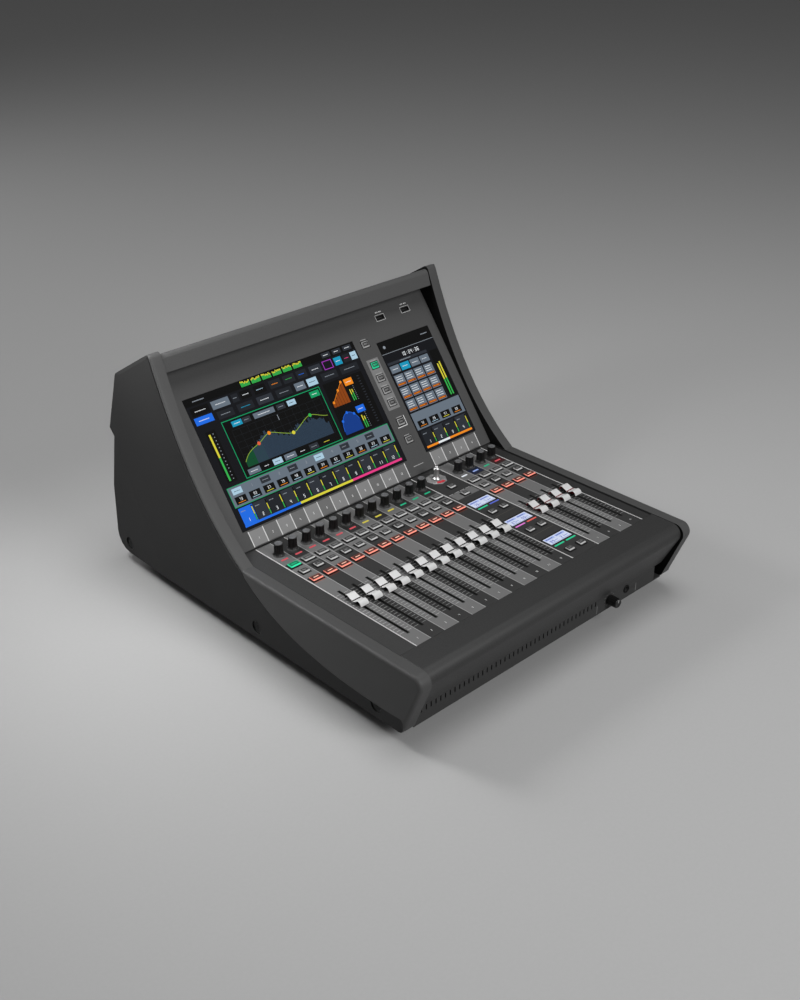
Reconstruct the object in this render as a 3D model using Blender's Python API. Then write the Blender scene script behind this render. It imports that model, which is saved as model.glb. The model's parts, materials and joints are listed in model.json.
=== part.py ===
"""Compact digital mixing console: 16 faders, two touch screens, a hooded display and an armrest.

Sizes are in millimetres and turned into metres when a mesh is made. X runs to the operator's
right, Y to the rear and Z up. The origin is on the table, under the middle of the console.
"""

import math

import bmesh
import bpy
from mathutils import Vector

METRE = 0.001

# Clearance between pieces that touch, and wall thicknesses
GAP = 0.3
SHEET = 2.0
DECK_THICKNESS = 2.5
BEZEL_THICKNESS = 3.0
HOOD_THICKNESS = 3.0
ARMREST_WALL = 3.0

# Channel strips across the deck, which set the width
STRIP_PITCH = 21.35
MAIN_STRIPS = 12
SIDE_STRIPS = 4
COLUMN_WIDTH = 47.0
MARGIN_LEFT = 25.0
MARGIN_RIGHT = 20.4
SIDE_THICKNESS = 17.0

# Side view: heights above the table and lengths from the nose
DEPTH = 564.0
FOOT_HEIGHT = 18.9
DECK_RISE = 82.5
ARMREST_DEPTH = 47.7
ARMREST_SETBACK = 1.2
ARMREST_HEM = 8.0
NOSE_RADIUS = 12.5
CHEEK_LEAN = 21.5
CHEEK_FOOT_RADIUS = 8.0
RIM_AHEAD = 27.0
RIM_FOOT_SLOPE = 35.0
RIM_TOP_SLOPE = 69.0
TOP_RADIUS = 6.0
HOOD_DROP = 47.0
HOOD_RUN = 76.0
REAR_TOP_RADIUS = 12.0
NOTCH_RISE = 178.0
NOTCH_OVERHANG = 13.4
NOTCH_STEP = 8.5
NOTCH_HEIGHT = 9.5
REAR_LEAN = 4.0
REAR_BULGE_RISE = 94.0
REAR_FOOT_RADIUS = 24.0
CREASE_RUN = 106.0
CREASE_SLOPE = 1.5
CREASE_HEAD_DROP = 4.6
SHOULDER = 5.0

# Side covers
COVER_THICKNESS = 2.0
COVER_FROM_EDGE = 0.5
COVER_FROM_RIM = 3.0
COVER_TOP_BEVEL = 4.0
COVER_FRONT_RISE = 18.0
COVER_SWEEP_BACK = 78.0
COVER_SWEEP_SAG = 74.5
SCREW_HOLE_RADIUS = 8.5
SCREW_SEAT = 1.5
SCREW_RISE = 16.0
SCREW_FROM_NOSE = (67.0, 271.0)
SCREW_FROM_REAR = 28.0

# Deck rows, from the front edge of the deck to the rear
SLOT_FROM_FRONT = 24.0
FADER_TRAVEL = 100.0
FADER_BELOW_TOP = 24.5
SLOT_SPARE = 2.4
SLOT_TO_ON = 38.2
ON_TO_CUE = 20.8
CUE_TO_SELECT = 18.5
SELECT_TO_ENCODER = 31.0
ENCODER_TO_LIP = 28.0

# Faders
CAP_LENGTH = 27.2
CAP_WIDTH = 12.6
CAP_HEIGHT = 5.2
CAP_CREST = 10.2
CAP_SCOOP = 2.3
CAP_EDGE_DROP = 1.3
CAP_END_LEAN = 0.8
CAP_SIDE_LEAN = 0.4
CAP_LIFT = 2.4
CAP_WALL = 1.4
CORE_LENGTH = 12.0
CORE_WIDTH = 4.4
CORE_LIFT = 0.8
STEM_LENGTH = 8.0
STEM_WIDTH = 1.8

# Encoders, turn knob and phones knob
ENCODER_RADIUS = 6.2
ENCODER_TOP_RADIUS = 5.5
ENCODER_HEIGHT = 15.4
ENCODER_SHAFT_RADIUS = 3.0
ENCODER_SHIFT = 2.2
KNOB_LIFT = 0.8
KNOB_EDGE = 1.0
TURN_RADIUS = 5.0
TURN_TOP_RADIUS = 4.75
TURN_HEIGHT = 20.0
TURN_SHAFT_RADIUS = 3.0
PHONES_RADIUS = 6.5
PHONES_TOP_RADIUS = 6.2
PHONES_LENGTH = 14.5
PHONES_SHAFT_RADIUS = 2.5
SHAFT_DEPTH = 9.0

# Keys
SELECT_KEY = (15.0, 9.0)
CUE_KEY = (10.6, 8.4)
ON_KEY = (15.0, 9.2)
CENTRE_KEY = (9.6, 8.0)
SCREEN_KEY = (11.5, 8.4)
KEY_RISE = 2.4
KEY_TRAVEL = 1.2
CARRIER = 3.0

# Centre column, from the encoder row to the front
TURN_BEHIND_ENCODERS = 4.2
ENCODER_TO_KEY_A = 23.5
KEY_A_TO_KEY_B = 24.5
KEY_B_TO_LABEL = 28.2
LABEL_SPACING = 62.3
LABEL_SIZE = (37.5, 15.0)
LABEL_DEPTH = 5.0
LABEL_COUNT = 3
LABEL_TO_KEYS = 28.5
KEY_PAIR_SPREAD = 20.6

# Display bezel and screens
SCREEN_SLOPE = 52.8
LIP_LENGTH = 22.5
DECK_UNDER_LIP = 8.0
MAIN_BORDER = 6.9
MAIN_SCREEN_HEIGHT = 171.5
SUB_BORDER = 4.8
SUB_SCREEN_HEIGHT = 158.0
SCREEN_DEPTH = 9.0
SCREEN_KEY_STEPS = (24.5, 25.6, 27.5, 18.0, 17.3, 18.8, 29.9)
PORT_SIZE = (14.0, 6.5)
PORT_DEPTH = 2.0
PORT_SPACING = 45.5
PORT_ABOVE_SUB = 31.0

# Hood
HOOD_ABOVE_SCREEN = 40.0
HOOD_AHEAD = 0.7
HOOD_FACE = 27.0
HOOD_FACE_LEAN = 8.6
HOOD_REAR_LIP = 12.0
HOOD_BELOW_RAIL = 0.3
HOOD_EDGE_RADIUS = 5.7

# Rear panel and sockets
REAR_INSET = 6.0
SOCKET_FIELD = (372.0, 106.0)
SOCKET_FIELD_DROP = 16.0
SOCKET_COLUMNS = 8
SOCKET_ROWS = 3
SOCKET_RADIUS = 11.5
SOCKET_BORE = 8.5
SOCKET_RECESS = 3.0
SOCKET_RIM = 1.2
SOCKET_PLATE = 5.0

# Bottom tray with its front wall, and what stands in it
FRONT_WALL_SETBACK = 27.0
FRONT_WALL_RISE = 21.5
FRONT_WALL_SHORT = 14.0
VENT_COUNT = 41
VENT_PITCH = 7.3
VENT_WIDTH = 1.8
VENT_LENGTH = 7.0
VENT_FROM_TOP = 1.0
VENT_FROM_LEFT = 11.0
PHONES_KNOB_FROM_END = 90.0
PHONES_TO_JACK = 33.5
PHONES_RISE = 13.0
JACK_RADIUS = 3.4
JACK_WALL = 3.0
JACK_DEPTH = 28.0
FOOT_RADIUS = 12.0
FOOT_FROM_SIDE = 47.0
FOOT_FROM_ENDS = 40.0
CHASSIS_INSET = 15.0
CHASSIS_DEPTH = 20.0
BOARD_SIZE = (240.0, 140.0)
BOARD_THICKNESS = 1.6
BOARD_STAND = 8.0
BOARD_POST = 8.0
BOARD_FROM_SIDE = 20.0
SUPPLY_SIZE = (88.0, 140.0, 48.0)
BOARD_TO_SUPPLY = 30.0
INNER_FROM_REAR = 50.0

# How finely curves are drawn, where an edge counts as sharp, and how far a cut overruns a face
ROUND_SIDES = 12
ARC_STEPS = 4
NOSE_STEPS = 7
CURVE_STEPS = 12
SHOULDER_STEPS = 2
SCOOP_STEPS = 6
SHARP_ANGLE = 40.0
MITRE_LIMIT = 0.3
OVERCUT = 1.0

# Places worked out from the driving sizes
strips = MAIN_STRIPS + SIDE_STRIPS
half_inner = (strips * STRIP_PITCH + COLUMN_WIDTH + MARGIN_LEFT + MARGIN_RIGHT) / 2
half_width = half_inner + SIDE_THICKNESS
half_fit = half_inner - GAP
nose_y = -DEPTH / 2
rear_y = DEPTH / 2
base_z = FOOT_HEIGHT
floor_z = base_z + SHEET
deck_z = base_z + DECK_RISE
deck_front = nose_y + ARMREST_DEPTH
wall_y = nose_y + FRONT_WALL_SETBACK
wall_top = base_z + FRONT_WALL_RISE

slot_length = FADER_TRAVEL + STEM_LENGTH + 2 * SLOT_SPARE
slot_front = deck_front + SLOT_FROM_FRONT
slot_middle = slot_front + slot_length / 2
fader_rest = slot_middle + FADER_TRAVEL / 2 - FADER_BELOW_TOP
on_row = slot_front + slot_length + SLOT_TO_ON
cue_row = on_row + ON_TO_CUE
select_row = cue_row + CUE_TO_SELECT
encoder_row = select_row + SELECT_TO_ENCODER
row_strip_low = -DECK_THICKNESS - GAP - KEY_TRAVEL - 2 * CARRIER

main_left = -half_inner + MARGIN_LEFT
main_right = main_left + MAIN_STRIPS * STRIP_PITCH
side_left = main_right + COLUMN_WIDTH
column_middle = (main_right + side_left) / 2
strip_middles = [main_left + (i + 0.5) * STRIP_PITCH for i in range(MAIN_STRIPS)]
strip_middles += [side_left + (i + 0.5) * STRIP_PITCH for i in range(SIDE_STRIPS)]

screen_angle = math.radians(SCREEN_SLOPE)
screen_up = Vector((0.0, math.cos(screen_angle), math.sin(screen_angle)))
lip_rise = BEZEL_THICKNESS * math.cos(screen_angle) + GAP
lip = Vector((0.0, encoder_row + ENCODER_TO_LIP, deck_z + lip_rise))
main_top = lip + screen_up * (LIP_LENGTH + MAIN_SCREEN_HEIGHT)

hood_low = Vector((main_top.y + HOOD_AHEAD, main_top.z + HOOD_ABOVE_SCREEN))
hood_top = Vector((hood_low.x + HOOD_FACE_LEAN, hood_low.y + HOOD_FACE))
bezel_top = (hood_low.y - GAP - lip.z) / screen_up.z

rear_top = Vector((hood_top.x + HOOD_RUN, hood_top.y - HOOD_DROP))
notch = Vector((rear_y - NOTCH_OVERHANG, base_z + NOTCH_RISE))
notch_foot = Vector((notch.x - NOTCH_STEP, notch.y - NOTCH_HEIGHT))
cheek_lean = math.radians(CHEEK_LEAN)
rear_lean = math.radians(REAR_LEAN)
nose_reach = NOSE_RADIUS / math.tan((math.pi / 2 - cheek_lean) / 2) - NOSE_RADIUS
nose_corner = Vector((nose_y - nose_reach, deck_z))
cheek_foot = Vector((nose_corner.x + DECK_RISE * math.tan(cheek_lean), base_z))
rear_reach = REAR_FOOT_RADIUS / math.tan((math.pi / 2 - rear_lean) / 2) - REAR_FOOT_RADIUS
rear_foot = Vector((rear_y + rear_reach, base_z))
rear_bulge = Vector((rear_foot.x - REAR_BULGE_RISE * math.tan(rear_lean), base_z + REAR_BULGE_RISE))
rim_foot = Vector((lip.y - RIM_AHEAD, deck_z))
crease_foot = Vector((rear_y - CREASE_RUN, base_z))


def clear_scene():
    for item in list(bpy.data.objects):
        bpy.data.objects.remove(item, do_unlink=True)


def paint(name, colour, roughness, metallic=0.0):
    material = bpy.data.materials.new(name)
    material.use_nodes = True
    shader = material.node_tree.nodes["Principled BSDF"]
    shader.inputs["Base Color"].default_value = (*colour, 1.0)
    shader.inputs["Roughness"].default_value = roughness
    shader.inputs["Metallic"].default_value = metallic
    return material


def add_loft(bm, rings):
    """Skin between rings of equal length, with a flat cap on the first and the last."""
    loops = [[bm.verts.new(point) for point in ring] for ring in rings]
    count = len(loops[0])
    for low, high in zip(loops, loops[1:]):
        for i in range(count):
            j = (i + 1) % count
            bm.faces.new((low[i], low[j], high[j], high[i]))
    caps = (bm.faces.new(list(reversed(loops[0]))), bm.faces.new(loops[-1]))
    return loops, caps


def add_prism(bm, outline, start, end, place):
    """Closed flat outline carried from start to end, with place turning it into space."""
    add_loft(bm, [[place(u, v, w) for u, v in outline] for w in (start, end)])


def add_box(bm, low, high):
    corners = [(low[0], low[1]), (high[0], low[1]), (high[0], high[1]), (low[0], high[1])]
    add_loft(bm, [[(x, y, z) for x, y in corners] for z in (low[2], high[2])])


def add_turned(bm, profile):
    """Profile of (radius, height) pairs turned about Z, with flat ends."""
    rings = []
    for radius, height in profile:
        rings.append([(x, y, height) for x, y in circle(0.0, 0.0, radius)])
    add_loft(bm, rings)


def circle(x, y, radius):
    """Round outline as many straight sides."""
    turns = [2 * math.pi * i / ROUND_SIDES for i in range(ROUND_SIDES)]
    return [(x + radius * math.cos(turn), y + radius * math.sin(turn)) for turn in turns]


def hole_radius(shaft_radius):
    """Corner radius of a many-sided hole that clears a round shaft by the gap."""
    return (shaft_radius + GAP) / math.cos(math.pi / ROUND_SIDES)


def to_mesh(name, bm):
    bmesh.ops.recalc_face_normals(bm, faces=bm.faces)
    bmesh.ops.scale(bm, vec=(METRE, METRE, METRE), verts=bm.verts)
    mesh = bpy.data.meshes.new(name)
    bm.to_mesh(mesh)
    bm.free()
    return mesh


def make(name, mesh, material, location=(0, 0, 0), turn=(0, 0, 0), smooth=False):
    item = bpy.data.objects.new(name, mesh)
    bpy.context.scene.collection.objects.link(item)
    item.location = Vector(location) * METRE
    item.rotation_euler = turn
    if not mesh.materials:
        mesh.materials.append(material)
    if smooth:
        mesh.shade_smooth()
        mesh.set_sharp_from_angle(angle=math.radians(SHARP_ANGLE))
    return item


def combine(item, bm, operation):
    """Cut a second shape out of an object, or join it on, and keep the result as its mesh."""
    tool = bpy.data.objects.new("tool", to_mesh("tool", bm))
    tool.hide_render = True
    tool.display_type = "WIRE"
    bpy.context.scene.collection.objects.link(tool)
    tool.matrix_world = item.matrix_basis.copy()
    step = item.modifiers.new("step", "BOOLEAN")
    step.operation = operation
    step.solver = "EXACT"
    step.object = tool
    bpy.context.view_layer.update()
    evaluated = item.evaluated_get(bpy.context.evaluated_depsgraph_get())
    mesh = bpy.data.meshes.new_from_object(evaluated)
    item.modifiers.clear()
    item.data = mesh
    bpy.data.objects.remove(tool, do_unlink=True)


def line_meet(a, b, c, d):
    """Point where the line through a and b meets the line through c and d."""
    along = b - a
    other = d - c
    gap = c - a
    share = (gap.x * other.y - gap.y * other.x) / (along.x * other.y - along.y * other.x)
    return a + along * share


def corner_half(before, corner, after):
    """Half the angle between the two sides of a corner."""
    return (before - corner).angle(after - corner) / 2


def rounded(before, corner, after, radius, steps=ARC_STEPS):
    """Arc of the given radius in place of a corner."""
    start = (before - corner).normalized()
    end = (after - corner).normalized()
    half = corner_half(before, corner, after)
    centre = corner + (start + end).normalized() * (radius / math.sin(half))
    first = corner + start * (radius / math.tan(half)) - centre
    last = corner + end * (radius / math.tan(half)) - centre
    sweep = first.angle_signed(last)
    points = []
    for i in range(steps + 1):
        angle = -sweep * i / steps
        turned = Vector((first.x * math.cos(angle) - first.y * math.sin(angle),
                         first.x * math.sin(angle) + first.y * math.cos(angle)))
        points.append(centre + turned)
    return points


def bow(start, middle, end, steps):
    """Quadratic curve from start to end, drawn towards the middle point."""
    points = []
    for i in range(steps + 1):
        t = i / steps
        points.append(start * (1 - t) ** 2 + middle * (2 * t * (1 - t)) + end * t ** 2)
    return points


def inset(points, distance, closed=True):
    """Outline moved to its left by a distance, with mitred corners."""
    moved = []
    count = len(points)
    for i, point in enumerate(points):
        before = points[i - 1] if closed or i else None
        after = points[(i + 1) % count] if closed or i < count - 1 else None
        sides = []
        if before is not None:
            sides.append((point - before).normalized())
        if after is not None:
            sides.append((after - point).normalized())
        normals = [Vector((-side.y, side.x)) for side in sides]
        middle = sum(normals, Vector((0.0, 0.0))).normalized()
        moved.append(point + middle * (distance / max(MITRE_LIMIT, middle.dot(normals[0]))))
    return moved


def sheet(path, thickness):
    """Closed outline of a bent sheet whose outer face follows the path."""
    return list(path) + list(reversed(inset(path, thickness, closed=False)))


def across(u, v, w):
    """Side view outline (Y, Z) carried along X."""
    return (w, u, v)


def side_outline():
    """Side view outline of the frame, anticlockwise from the cheek's foot, with its landmarks."""
    rail_mark = Vector((deck_front, deck_z))
    rim_slope = Vector((1.0, math.tan(math.radians(RIM_TOP_SLOPE))))
    foot_slope = Vector((1.0, math.tan(math.radians(RIM_FOOT_SLOPE))))
    fillet = TOP_RADIUS / math.tan(corner_half(rear_top, hood_top, hood_top - rim_slope))
    rim_end = hood_top - rim_slope.normalized() * fillet
    rim_bend = line_meet(rim_foot, rim_foot + foot_slope, rim_end, hood_top)
    rim = bow(rim_foot, rim_bend, rim_end, CURVE_STEPS)
    crease_head = notch_foot + (rear_bulge - notch_foot).normalized() * CREASE_HEAD_DROP
    outline = rounded(nose_corner, cheek_foot, crease_foot, CHEEK_FOOT_RADIUS)
    crease_low = len(outline)
    outline.append(crease_foot)
    outline += rounded(crease_foot, rear_foot, rear_bulge, REAR_FOOT_RADIUS)
    outline.append(rear_bulge)
    crease_high = len(outline)
    outline += [crease_head, notch_foot, notch]
    outline += rounded(notch, rear_top, hood_top, REAR_TOP_RADIUS)
    top_start = len(outline) - 1
    outline += rounded(rear_top, hood_top, rim_end, TOP_RADIUS)
    rim_start = len(outline) - ARC_STEPS // 2
    outline += list(reversed(rim))[1:]
    rim_stop = len(outline)
    outline.append(rail_mark)
    outline += rounded(rail_mark, nose_corner, cheek_foot, NOSE_RADIUS, NOSE_STEPS)
    return outline, (crease_low, crease_high), (top_start, rim_start, rim_stop)


def crease_depth(point, low, high):
    """How far the side turns inward behind its crease, at a point of the side view."""
    along = (high - low).normalized()
    behind = Vector((along.y, -along.x)).dot(point - low)
    return math.tan(math.radians(CREASE_SLOPE)) * max(0.0, behind)


def creased_ring(outline, low, high, side, reach):
    """Outline set in space at a distance from the middle, bent in behind the crease."""
    ring = []
    for point in outline:
        ring.append((side * (reach - crease_depth(point, low, high)), point.x, point.y))
    return ring


def on_crease(outline, index, low, high):
    """Move one outline point along its own edge onto the crease line."""
    outline[index] = line_meet(outline[index - 1], outline[index + 1], low, high)


def cover_outline(outline, crease, rim_start, rim_stop):
    """Cover edge: along the frame's bottom, rear and top, down inside the rim, then swept to the front."""
    edge = inset(outline, COVER_FROM_EDGE)
    for index in crease:
        on_crease(edge, index, outline[crease[0]], outline[crease[1]])
    rim = inset(outline, COVER_FROM_RIM)
    front = Vector((cheek_foot.x, base_z + COVER_FRONT_RISE))
    bend = Vector((rim_foot.x - COVER_SWEEP_BACK, rim_foot.y - COVER_SWEEP_SAG))
    sweep = bow(rim[rim_stop - 1], bend, front, CURVE_STEPS)
    return edge[1:rim_start] + rim[rim_start:rim_stop] + sweep[1:]


def screw_holes(side, low, high, depth):
    """Round cutters for the three cover screws, down to a depth below the creased face."""
    bm = bmesh.new()
    z = base_z + SCREW_RISE
    for y in [nose_y + place for place in SCREW_FROM_NOSE] + [rear_y - SCREW_FROM_REAR]:
        deep = crease_depth(Vector((y + SCREW_HOLE_RADIUS, z)), low, high) + depth
        hole = circle(y, z, SCREW_HOLE_RADIUS)
        add_prism(bm, hole, side * (half_width - deep), side * (half_width + OVERCUT), across)
    return bm


def build_frame(side, name, outline, crease, cover, pocket_open, frame_paint):
    """Side frame with rounded shoulders, a pocket that takes the cover, and a seat under each screw."""
    low = outline[crease[0]]
    high = outline[crease[1]]
    rings = [[(side * half_inner, p.x, p.y) for p in outline]]
    for i in range(SHOULDER_STEPS + 1):
        turn = math.pi / 2 * i / SHOULDER_STEPS
        edge = inset(outline, SHOULDER * (1 - math.cos(turn)))
        for index in crease:
            on_crease(edge, index, low, high)
        rings.append(creased_ring(edge, low, high, side, half_width - SHOULDER * (1 - math.sin(turn))))
    bm = bmesh.new()
    loops, caps = add_loft(bm, rings)
    bmesh.utils.face_split(caps[1], loops[-1][crease[0]], loops[-1][crease[1]])
    item = make("side_frame_" + name, to_mesh("side_frame_" + name, bm), frame_paint)
    beyond = inset(cover, -COVER_FROM_EDGE - OVERCUT)
    pocket = beyond[:pocket_open] + inset(cover, -GAP)[pocket_open:]
    for index in crease:
        on_crease(pocket, index - 1, low, high)
    bm = bmesh.new()
    floor = creased_ring(pocket, low, high, side, half_width - COVER_THICKNESS - GAP)
    above = [(side * (half_width + OVERCUT), p.x, p.y) for p in pocket]
    loops, caps = add_loft(bm, [floor, above])
    bmesh.utils.face_split(caps[0], loops[0][crease[0] - 1], loops[0][crease[1] - 1])
    combine(item, bm, "DIFFERENCE")
    seat = COVER_THICKNESS + GAP + SCREW_SEAT
    combine(item, screw_holes(side, low, high, seat), "DIFFERENCE")


def build_cover(side, name, cover, crease, low, high, bevel, cover_paint):
    """Flat cover, bent in behind the crease, with a bevel along its top and three screw holes."""
    face = list(cover)
    face[bevel[0]:bevel[1]] = inset(cover, COVER_TOP_BEVEL)[bevel[0]:bevel[1]]
    rings = []
    for edge, back in ((cover, COVER_THICKNESS), (cover, COVER_THICKNESS / 2), (face, 0.0)):
        rings.append(creased_ring(edge, low, high, side, half_width - back))
    bm = bmesh.new()
    loops, caps = add_loft(bm, rings)
    for cap, loop in zip(caps, (loops[0], loops[-1])):
        bmesh.utils.face_split(cap, loop[crease[0] - 1], loop[crease[1] - 1])
    item = make("side_cover_" + name, to_mesh("side_cover_" + name, bm), cover_paint)
    combine(item, screw_holes(side, low, high, COVER_THICKNESS + OVERCUT), "DIFFERENCE")


def build_side(side, name, frame_paint, cover_paint):
    outline, crease, (top_start, rim_start, rim_stop) = side_outline()
    cover = cover_outline(outline, crease, rim_start, rim_stop)
    build_frame(side, name, outline, crease, cover, rim_start - 1, frame_paint)
    bevel = (top_start - 1, rim_start - 1)
    build_cover(side, name, cover, crease, outline[crease[0]], outline[crease[1]], bevel, cover_paint)


def add_facing(bm, x, z, radius, front, back):
    """Round bar along Y from front to back."""
    add_prism(bm, circle(x, z, radius), front, back, lambda u, v, w: (u, w, v))


def build_tray(paint_steel):
    tray_end = rear_y - REAR_FOOT_RADIUS
    path = [Vector((wall_y, wall_top)), Vector((wall_y, base_z)), Vector((tray_end, base_z))]
    bm = bmesh.new()
    add_prism(bm, sheet(path, SHEET), -half_fit, half_fit, across)
    tray = make("base_pan", to_mesh("base_pan", bm), paint_steel)
    wall_end = half_inner - FRONT_WALL_SHORT
    knob_x = wall_end - PHONES_KNOB_FROM_END
    jack_x = knob_x + PHONES_TO_JACK
    phones_z = base_z + PHONES_RISE
    bm = bmesh.new()
    add_facing(bm, jack_x, phones_z, JACK_RADIUS + JACK_WALL, wall_y + SHEET / 2, wall_y + JACK_DEPTH)
    combine(tray, bm, "UNION")
    bm = bmesh.new()
    add_box(bm, (wall_end, wall_y - OVERCUT, floor_z),
            (half_fit + OVERCUT, wall_y + SHEET + OVERCUT, wall_top + OVERCUT))
    for i in range(VENT_COUNT):
        x = VENT_FROM_LEFT - half_inner + i * VENT_PITCH
        add_box(bm, (x, wall_y - OVERCUT, wall_top - VENT_FROM_TOP - VENT_LENGTH),
                (x + VENT_WIDTH, wall_y + SHEET + OVERCUT, wall_top - VENT_FROM_TOP))
    shaft_hole = hole_radius(PHONES_SHAFT_RADIUS)
    add_facing(bm, jack_x, phones_z, JACK_RADIUS, wall_y - OVERCUT, wall_y + JACK_DEPTH - JACK_WALL)
    add_facing(bm, knob_x, phones_z, shaft_hole, wall_y - OVERCUT, wall_y + SHEET + OVERCUT)
    combine(tray, bm, "DIFFERENCE")
    return (knob_x, wall_y, phones_z)


def build_armrest(paint_arm):
    """Bent shell: flat top, rolled nose and an underside that runs back to the front wall."""
    edge = Vector((deck_front - GAP, deck_z))
    corner = nose_corner + Vector((ARMREST_SETBACK, 0.0))
    end = Vector((wall_y - GAP, wall_top + GAP))
    hem = Vector((end.x + ARMREST_HEM, end.y))
    path = [edge] + rounded(edge, corner, end, NOSE_RADIUS, NOSE_STEPS) + [end, hem]
    bm = bmesh.new()
    add_prism(bm, sheet(path, ARMREST_WALL), -half_fit, half_fit, across)
    make("armrest", to_mesh("armrest", bm), paint_arm)


def centre_places():
    """Rows of the centre column, worked out from the encoder row to the front."""
    key_a = encoder_row - ENCODER_TO_KEY_A
    key_b = key_a - KEY_A_TO_KEY_B
    labels = [key_b - KEY_B_TO_LABEL - i * LABEL_SPACING for i in range(LABEL_COUNT)]
    singles = [(column_middle, key_a), (column_middle, key_b)]
    pairs = []
    for label in labels:
        for side in (-1, 1):
            pairs.append((column_middle + side * KEY_PAIR_SPREAD / 2, label - LABEL_TO_KEYS))
    return singles, pairs, labels


def add_opening(bm, x, y, size):
    """Through cut of the deck, wider than what it takes by the gap on each side."""
    half_x = size[0] / 2 + GAP
    half_y = size[1] / 2 + GAP
    low = deck_z - DECK_THICKNESS - OVERCUT
    add_box(bm, (x - half_x, y - half_y, low), (x + half_x, y + half_y, deck_z + OVERCUT))


def add_post_hole(bm, x, y, radius):
    low = deck_z - DECK_THICKNESS - OVERCUT
    add_prism(bm, circle(x, y, radius), low, deck_z + OVERCUT, lambda u, v, w: (u, v, w))


def build_deck(paint_deck):
    bm = bmesh.new()
    deck_end = lip.y + DECK_UNDER_LIP
    add_box(bm, (-half_fit, deck_front, deck_z - DECK_THICKNESS), (half_fit, deck_end, deck_z))
    deck = make("fader_panel", to_mesh("fader_panel", bm), paint_deck)
    singles, pairs, labels = centre_places()
    bm = bmesh.new()
    for x in strip_middles:
        add_opening(bm, x, slot_middle, (STEM_WIDTH, slot_length))
        add_opening(bm, x, on_row, ON_KEY)
        add_opening(bm, x, cue_row, CUE_KEY)
        add_opening(bm, x, select_row, SELECT_KEY)
        add_post_hole(bm, x + ENCODER_SHIFT, encoder_row, hole_radius(ENCODER_SHAFT_RADIUS))
    for x, y in singles + pairs:
        add_opening(bm, x, y, CENTRE_KEY)
    for y in labels:
        add_opening(bm, column_middle, y, LABEL_SIZE)
    turn_hole = hole_radius(TURN_SHAFT_RADIUS)
    add_post_hole(bm, column_middle, encoder_row + TURN_BEHIND_ENCODERS, turn_hole)
    combine(deck, bm, "DIFFERENCE")


def cap_mesh():
    """Thin scooped shell with two crests, open at its sides and below."""
    half = CAP_LENGTH / 2
    top = CAP_LIFT + CAP_HEIGHT
    path = [(half, CAP_LIFT), (half - CAP_END_LEAN, top - CAP_EDGE_DROP)]
    for i in range(SCOOP_STEPS + 1):
        share = 1 - 2 * i / SCOOP_STEPS
        path.append((CAP_CREST * share, top - CAP_SCOOP * (1 - share ** 2)))
    path += [(CAP_END_LEAN - half, top - CAP_EDGE_DROP), (-half, CAP_LIFT)]
    rings = []
    for reach in (-1, 1):
        ring = []
        for y, z in sheet([Vector(point) for point in path], CAP_WALL):
            lean = CAP_SIDE_LEAN * (z - CAP_LIFT) / CAP_HEIGHT
            ring.append((reach * (CAP_WIDTH / 2 - lean), y, z))
        rings.append(ring)
    bm = bmesh.new()
    add_loft(bm, rings)
    return to_mesh("fader", bm)


def build_faders(paint_cap):
    """Sixteen faders on one mesh: the shell, a core under its saddle and a stem through the slot."""
    seat = CAP_LIFT + CAP_HEIGHT - CAP_SCOOP - CAP_WALL / 2
    stem_end = -DECK_THICKNESS - CHASSIS_DEPTH + 2 * GAP
    first = make("fader_01", cap_mesh(), paint_cap, (strip_middles[0], fader_rest, deck_z))
    core = (CORE_WIDTH / 2, CORE_LENGTH / 2)
    stem = (STEM_WIDTH / 2, STEM_LENGTH / 2)
    for (x, y), low, high in ((core, CORE_LIFT, seat), (stem, stem_end, (CORE_LIFT + seat) / 2)):
        bm = bmesh.new()
        add_box(bm, (-x, -y, low), (x, y, high))
        combine(first, bm, "UNION")
    for i, x in enumerate(strip_middles[1:], 2):
        make("fader_{:02d}".format(i), first.data, paint_cap, (x, fader_rest, deck_z))


def knob_mesh(name, radius, top_radius, height, shaft_radius):
    """Turned knob that narrows towards its top, on a shaft that passes through the panel."""
    top = KNOB_LIFT + height
    bm = bmesh.new()
    add_turned(bm, [(shaft_radius, -SHAFT_DEPTH), (shaft_radius, KNOB_LIFT), (radius, KNOB_LIFT),
                    (top_radius, top - KNOB_EDGE), (top_radius - KNOB_EDGE, top)])
    return to_mesh(name, bm)


def build_knobs(paint_knob, paint_metal, phones_place):
    mesh = knob_mesh("encoder", ENCODER_RADIUS, ENCODER_TOP_RADIUS, ENCODER_HEIGHT, ENCODER_SHAFT_RADIUS)
    for i, x in enumerate(strip_middles):
        place = (x + ENCODER_SHIFT, encoder_row, deck_z)
        make("encoder_{:02d}".format(i + 1), mesh, paint_knob, place, smooth=True)
    mesh = knob_mesh("turn_knob", TURN_RADIUS, TURN_TOP_RADIUS, TURN_HEIGHT, TURN_SHAFT_RADIUS)
    place = (column_middle, encoder_row + TURN_BEHIND_ENCODERS, deck_z)
    make("turn_knob", mesh, paint_metal, place, smooth=True)
    mesh = knob_mesh("phones_knob", PHONES_RADIUS, PHONES_TOP_RADIUS, PHONES_LENGTH, PHONES_SHAFT_RADIUS)
    make("phones_knob", mesh, paint_knob, phones_place, (math.pi / 2, 0, 0), smooth=True)


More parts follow.
